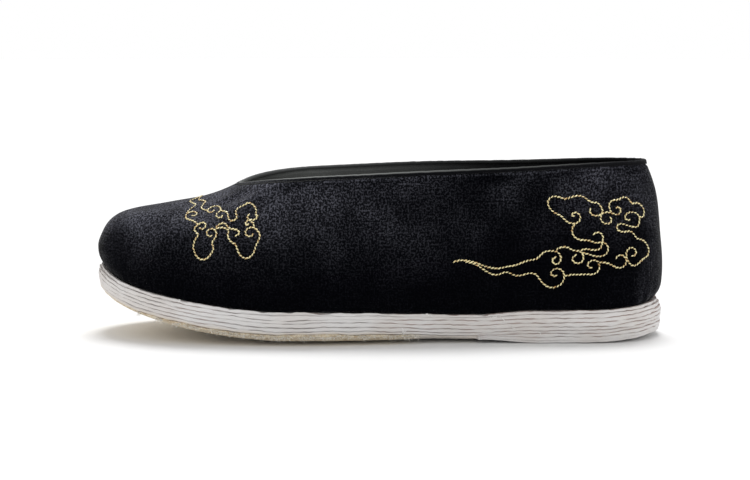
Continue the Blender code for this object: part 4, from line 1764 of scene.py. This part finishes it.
        def place_rim(column: np.ndarray, row: np.ndarray) -> np.ndarray:
            """Lays the rim's grid round the outline."""
            k = column % count
            rows = np.array(section)[row]
            near = 1 - ease(0.0, section[0][0], rows[:, 0])
            grooved = rows[:, 0] * np.where(rows[:, 0] < self.groove_rows, open_share(k, rows[:, 1]), 1.0)
            lumps = Ripple(100 + level, 8 * MM, 2.5 * MM).read(self.form, loop.turns[k], rows[:, 1] * 2 * MM)
            wander = (swell[k] + lumps * 0.35 * self.rim_wave) * near
            flat = loop.points[k] + inward[k] * (grooved + wander)[:, None]
            z = on_face(flat, rows[:, 1])
            z += (waves[0][k] * (1 - rows[:, 1]) + waves[1][k] * rows[:, 1]) * near
            return np.column_stack((flat, z))

        mesh = bmesh.new()
        level_layer = mesh.verts.layers.float.new("level")
        crevice_layer = mesh.verts.layers.float.new("crevice")
        verts, columns, rows = lay_grid(mesh, count, len(section) - 1, place_rim)
        shares = np.array(section)[rows]
        # How much painted crevice shade each point gets, less where the crevice is pressed shut
        crevices = shares[:, 2] * open_share(columns % count, shares[:, 1])
        for vert, share, crevice in zip(verts, shares[:, 1], crevices):
            vert[level_layer] = level + 1 - share
            vert[crevice_layer] = crevice
        for edge_row in (section[0], section[-1]):
            ring = loop.points + inward * edge_row[0]

            def place_face(column: np.ndarray, row: np.ndarray) -> np.ndarray:
                """Lays a face's grid between the two sides of the ring."""
                left, right = ring[column], ring[(count - column) % count]
                share = ease(0.0, 1.0, row / self.across) * 0.35 + row / self.across * 0.65
                flat = left + (right - left) * share[:, None]
                return np.column_stack((flat, on_face(flat, np.full(len(flat), edge_row[1]))))

            for vert in lay_grid(mesh, count // 2, self.across, place_face)[0]:
                vert[level_layer] = level + 1 - edge_row[1]
        weld(mesh, 2e-6)
        return make_piece(name, mesh, material, (stands_for,))

    def build(self) -> list[bpy.types.Object]:
        """Builds all layers and returns those that the sole's side is made of."""
        form = self.form
        cotton = FoldedCotton().material()

        def height(layer: int, move: float) -> Callable[[np.ndarray], np.ndarray]:
            """The height of a boundary between plies, moved up or down."""
            return lambda flat: form.interface(flat, layer) + move

        layers = []
        for i in range(form.ply_count):
            top = -self.first_inset if i == 0 else -self.touch
            whole = self.loop(0.0, 1.0, self.around, self.ply_taper[i], i)
            layers.append(self.build_pad(
                f"folded_ply_{i + 1}", whole,
                (height(i + 1, self.touch), height(i, top)),
                (self.boundary_wave(whole, i + 1), self.boundary_wave(whole, i)),
                i, cotton, f"sole_ply_{i + 1}",
            ))
        for i in range(form.heel_ply_count):
            layer = form.ply_count + i
            end = form.heel_ply_reach - i * self.heel_step_shown * form.heel_ply_step / form.length
            loop = self.loop(0.0, end, self.around // 2, self.heel_taper[i], layer)
            lowest = i == form.heel_ply_count - 1
            floor = form.join if lowest else self.touch
            under = self.boundary_wave(loop, layer + 1)
            if lowest:
                under = np.abs(under) * self.trodden_wave + self.edge_gap * self.trodden_share * loop.on_rim
            layers.append(self.build_pad(
                f"folded_heel_ply_{i + 1}", loop,
                (height(layer + 1, floor), height(layer, -self.touch)),
                (under, self.boundary_wave(loop, layer)),
                layer, cotton, f"heel_ply_{i + 1}", self.lowest_ply_section() if lowest else None,
            ))
        layers.append(self.build_half_sole())
        self.build_sock()
        return layers

    def leather_loop(self) -> LayerLoop:
        """The outline of the half sole."""
        form = self.form
        start = form.heel_ply_reach - self.rear_overlap / form.length
        return self.loop(start, 1.0, self.around, self.leather_taper, form.ply_count)

    def lowest_ply_section(self) -> tuple[tuple[float, float, float], ...]:
        """The rim's section of the lowest heel ply, with less of the painted crevice shade along its lower
        edge.
        """
        return tuple(
            (inset, share, crevice * (self.lowest_crevice_shade if share < 0.5 else 1.0))
            for inset, share, crevice in self.rim_section
        )

    def leather_gap(self, points: np.ndarray) -> np.ndarray:
        """How far the half sole's scuffed edge is off the floor, at most half its thickness."""
        return np.minimum(self.edge_gap, 0.5 * self.form.leather_depth(points))

    def build_half_sole(self) -> bpy.types.Object:
        """Builds the leather half sole with a ragged edge."""
        form = self.form
        loop = self.leather_loop()

        def top(flat: np.ndarray) -> np.ndarray:
            """Height of the leather's upper face."""
            return form.interface(flat, form.ply_count) - 0.5 * form.join

        def bottom(flat: np.ndarray) -> np.ndarray:
            """Height of the leather's underside, flush with the heel plies where they meet."""
            ahead = (form.along_of(flat[:, 0]) - form.heel_ply_reach) * form.length
            lower = (1 - ease(0.0, self.step_length, ahead)) * self.step_height
            return form.interface(flat, form.ply_count) - form.join - form.leather_depth(flat) - lower

        thin = np.minimum(1.0, form.leather_depth(loop.points) / self.ragged_full_depth)
        ragged = np.abs(Ripple(91, 6 * MM, 2.2 * MM, 22).read(form, loop.turns)) * self.ragged * thin
        under = ragged + self.leather_gap(loop.points) * loop.on_rim
        section = (
            (4.0 * MM, 0.00, 0.8),
            (2.4 * MM, 0.00, 0.8),
            (0.75 * MM, 0.02, 0.4),
            (0.30 * MM, 0.10, 0.3),
            (0.08 * MM, 0.28, 0.2),
            (0.00 * MM, 0.52, 0.1),
            (0.05 * MM, 0.78, 0.1),
            (0.28 * MM, 0.95, 0.5),
            (1.2 * MM, 1.00, 1.0),
            (2.6 * MM, 1.00, 1.0),
        )
        return self.build_pad(
            "rough_half_sole", loop,
            (bottom, top), (under, self.boundary_wave(loop, form.ply_count)),
            form.ply_count, RoughLeather().material(), "leather_half_sole", section,
        )

    def build_sock(self) -> bpy.types.Object:
        """Builds the thin sock lining that lies inside the upper."""
        form = self.form

        def bottom(flat: np.ndarray) -> np.ndarray:
            """Height of the sock's underside."""
            return form.interface(flat, 0) + form.join

        def top(flat: np.ndarray) -> np.ndarray:
            """Height of the sock's upper face, a little hollow under the heel and the ball."""
            along = form.along_of(flat[:, 0])
            hollow = np.exp(-(((along - 0.13) / 0.10) ** 2)) + 0.7 * np.exp(-(((along - 0.68) / 0.12) ** 2))
            middle = 1 - ease(0.15, 0.75, form.rim_share(flat))
            return bottom(flat) + self.sock_thickness - self.sock_hollow * hollow * middle

        inside_wall = form.feather_inset + form.upper_wall + self.sock_gap
        whole = LayerLoop.cut(form, 0.0, 1.0, self.around, lambda along: inside_wall + HEM_TUCK.at(along))
        still = np.zeros(len(whole.points))
        return self.build_pad(
            "sock_lining", whole,
            (bottom, top), (still, still), 0, GREY_LINING.material(), "insole",
        )


@dataclass(frozen=True)
class LeatherFuzz:
    """Short hairs that stand off the scuffed edge of the half sole."""

    sole: ClothSole
    count: int = 3800
    shortest: float = 0.6 * MM
    longest: float = 3.0 * MM
    radius: float = 0.17 * MM
    grows_from: float = 0.43
    thins_from: float = 0.82
    grows_to: float = 0.93
    thinning: float = 1.6
    clump_wave: Ripple = Ripple(35, 22 * MM, 4 * MM)
    seed: int = 31

    def build(self) -> bpy.types.Object:
        """Builds the hairs as one piece."""
        form = self.sole.form
        loop = self.sole.leather_loop()
        edge = loop.points
        under = form.interface(edge, form.ply_count) - form.join
        thick = form.leather_depth(edge) - self.sole.leather_gap(edge)
        along = form.along(loop.turns)
        seen = np.flatnonzero((loop.on_rim > 0.99) & (along > self.grows_from) & (along < self.grows_to))
        thinned = self.thinning * ease(self.thins_from, self.grows_to, along)
        clumps = self.clump_wave.read(form, loop.turns) - thinned
        draw = random.Random(self.seed)
        mesh = bmesh.new()
        for number in range(self.count):
            k = draw.choice(seen)
            if clumps[k] < draw.uniform(-1.2, 1.4):
                continue
            hanging = number % 3 > 0
            low = draw.uniform(0.85, 1.0) if hanging else draw.uniform(0.1, 1.0)
            inward = Vector((*loop.inward[k], 0.0))
            root = Vector((*edge[k], under[k] - thick[k] * low)) + inward * (0.3 * low**3 - 0.15) * MM
            side = Vector((-inward.y, inward.x, 0.0))
            way = side * draw.uniform(-1.0, 1.0) - inward * draw.uniform(0.0, 0.6)
            way = (way + Vector((0.0, 0.0, -draw.uniform(0.3, 1.1) * hanging))).normalized()
            length = self.shortest + (self.longest - self.shortest) * draw.random() ** 2.5
            length = min(length, max(root.z / max(-way.z, 0.05), self.shortest) * 0.8)
            turn = way.to_track_quat("Z", "Y").to_matrix().to_4x4()
            bmesh.ops.create_cone(
                mesh, cap_ends=True, segments=3, radius1=self.radius, radius2=self.radius * 0.25,
                depth=length, matrix=Matrix.Translation(root + way * length * 0.4) @ turn,
            )
        return make_piece("half_sole_fuzz", mesh, LEATHER_FIBRE.material(), sharp_degrees=180.0)


# Loose ends of the sewing thread on the sole's side, as pixels of the photograph
THREAD_ENDS = (
    ((176.5, 299.0), (178.5, 301.5), (180.5, 300.0), (179.0, 302.5)),
    ((401.5, 327.5), (403.5, 330.0), (402.0, 333.0), (404.5, 335.0)),
    ((406.5, 330.5), (404.5, 332.0), (406.5, 334.5)),
    ((426.0, 313.0), (428.0, 315.5), (430.5, 314.5), (432.5, 317.0)),
    ((489.0, 318.5), (492.0, 316.5), (495.0, 317.5), (498.0, 315.5), (501.0, 317.0)),
    ((501.0, 316.5), (503.5, 319.5), (505.0, 321.0)),
    ((537.5, 331.5), (539.0, 333.0), (541.0, 332.5), (540.0, 335.5)),
    ((511.0, 326.0), (513.0, 328.5), (515.5, 328.0)),
    ((622.0, 339.5), (623.5, 341.5), (622.8, 343.0)),
    ((624.5, 339.8), (624.0, 341.8), (625.5, 343.0)),
)

# Lumps of knotted thread: a pixel of the photograph and a radius in millimetres
KNOTS = (
    (178.8, 300.6, 0.65), (404.2, 332.0, 0.70), (427.4, 314.6, 0.60),
    (491.5, 317.4, 0.50), (539.2, 333.2, 0.50), (623.4, 340.6, 0.55),
)


@dataclass(frozen=True)
class SewingEnds:
    """Knots and loose ends of the white thread that the sole is sewn with."""

    view: Viewpoint
    radius: float = 0.22 * MM
    steps: int = 4
    sides: int = 5
    lumps: int = 3
    lump_scatter: float = 0.35 * MM
    seed: int = 41

    def lay_thread(self, mesh: bmesh.types.BMesh, points: list[Vector]) -> None:
        """Adds one thread along a line of points, drawn to a point at its ends."""
        walked = np.linspace(0.0, 1.0, (len(points) - 1) * self.steps + 1)
        known = np.linspace(0.0, 1.0, len(points))
        line = resample(np.array(points), known, walked)
        for _ in range(2):
            line[1:-1] = (line[:-2] + 2 * line[1:-1] + line[2:]) / 4
        away = np.array((0.0, -1.0, 0.0))
        tangent = np.gradient(line, axis=0)
        across = unit(np.cross(tangent, away))
        last = len(line) - 1

        def place(column: np.ndarray, row: np.ndarray) -> np.ndarray:
            """Lays the tube's grid round the line."""
            angle = 2 * np.pi * column / self.sides
            thick = self.radius * np.where((row == 0) | (row == last), 0.0, 1.0)
            ring = across[row] * np.cos(angle)[:, None] + away * np.sin(angle)[:, None]
            return line[row] + away * self.radius * 0.8 + ring * thick[:, None]

        lay_grid(mesh, self.sides, last, place)

    def build(self, layers: list[bpy.types.Object]) -> bpy.types.Object:
        """Lays the threads on the sole's near side.

        Args:
            layers: the pieces that the side is made of.

        Returns:
            The threads and knots as one piece.
        """
        surface = bmesh.new()
        for layer in layers:
            surface.from_mesh(layer.data)
        sole = BVHTree.FromBMesh(surface)
        surface.free()
        draw = random.Random(self.seed)
        mesh = bmesh.new()
        for end in THREAD_ENDS:
            self.lay_thread(mesh, [self.view.find(sole, *pixel) for pixel in end])
        weld(mesh)
        for across, down, radius in KNOTS:
            middle = self.view.find(sole, across, down)
            for _ in range(self.lumps):
                nudge = Vector([draw.uniform(-self.lump_scatter, self.lump_scatter) for _ in range(3)])
                size = Matrix.Diagonal((draw.uniform(0.8, 1.3), 0.7, draw.uniform(0.6, 0.9), 1.0))
                bmesh.ops.create_icosphere(
                    mesh, subdivisions=2, radius=radius * MM, matrix=Matrix.Translation(middle + nudge) @ size
                )
        return make_piece("sewing_ends", mesh, WHITE_THREAD.material(), sharp_degrees=180.0)


@dataclass(frozen=True)
class Studio:
    """A white floor, a key light from above and behind, and an even white surround."""

    floor_reach: float = 6.0
    floor_drop: float = 0.02 * MM
    floor_white: Colour = (0.90, 0.90, 0.90)
    floor_patch: Colour = (0.91, 0.91, 0.91)
    surround: float = 0.66
    key_strength: float = 1.95
    key_spread: float = math.radians(24.0)
    towards_key: tuple[float, float, float] = (0.03, 0.34, 1.0)

    def build(self) -> None:
        """Builds the floor, the lights and the surround."""
        mesh = bmesh.new()
        below = Matrix.Translation((0.0, 0.0, -self.floor_drop))
        bmesh.ops.create_circle(mesh, cap_ends=True, segments=96, radius=self.floor_reach, matrix=below)
        data = bpy.data.meshes.new("floor")
        mesh.to_mesh(data)
        mesh.free()
        nodes, shader, place = start_material("pale_floor")
        patch = nodes.group(patches(), Vector=place.outputs["Object"], Scale=2.0)
        white = nodes.tint(patch.outputs["Patch"], self.floor_white, self.floor_patch)
        nodes.fill(shader, Base_Color=white, Roughness=0.7, Specular_IOR_Level=0.1)
        data.materials.append(bpy.data.materials["pale_floor"])
        floor = bpy.data.objects.new("floor", data)
        bpy.context.scene.collection.objects.link(floor)

        key = bpy.data.lights.new("key", "SUN")
        key.energy = self.key_strength
        key.angle = self.key_spread
        lamp = bpy.data.objects.new("key", key)
        lamp.rotation_euler = Vector(self.towards_key).to_track_quat("Z", "Y").to_euler()
        bpy.context.scene.collection.objects.link(lamp)

        world = bpy.data.worlds.new("surround")
        world.use_nodes = True
        around = Nodes(world.node_tree)
        light = world.node_tree.nodes["Background"]
        path = around.add("ShaderNodeLightPath")
        around.feed(light.inputs["Strength"], around.blend(path.outputs["Is Camera Ray"], self.surround, 1.0))
        light.inputs["Color"].default_value = (1.0, 1.0, 1.0, 1.0)
        bpy.context.scene.world = world
        bpy.context.scene.view_settings.view_transform = "Standard"


def main() -> None:
    """Builds the shoe's pieces in order, then the studio round them."""
    logging.basicConfig(level=logging.INFO)
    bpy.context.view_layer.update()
    form = ShoeForm()
    view = Viewpoint()
    upper = ClothUpper(form)
    outer = upper.build()
    CollarTape(upper).build()
    CloudEmbroidery("side_cloud_embroidery", SIDE_CLOUD, view, 5).build(outer)
    CloudEmbroidery("vamp_cloud_embroidery", VAMP_CLOUD, view, 6).build(outer)
    sole = ClothSole(form)
    layers = sole.build()
    LeatherFuzz(sole).build()
    SewingEnds(view).build(layers)
    Studio().build()
    view.build()


if __name__ == "__main__":
    main()
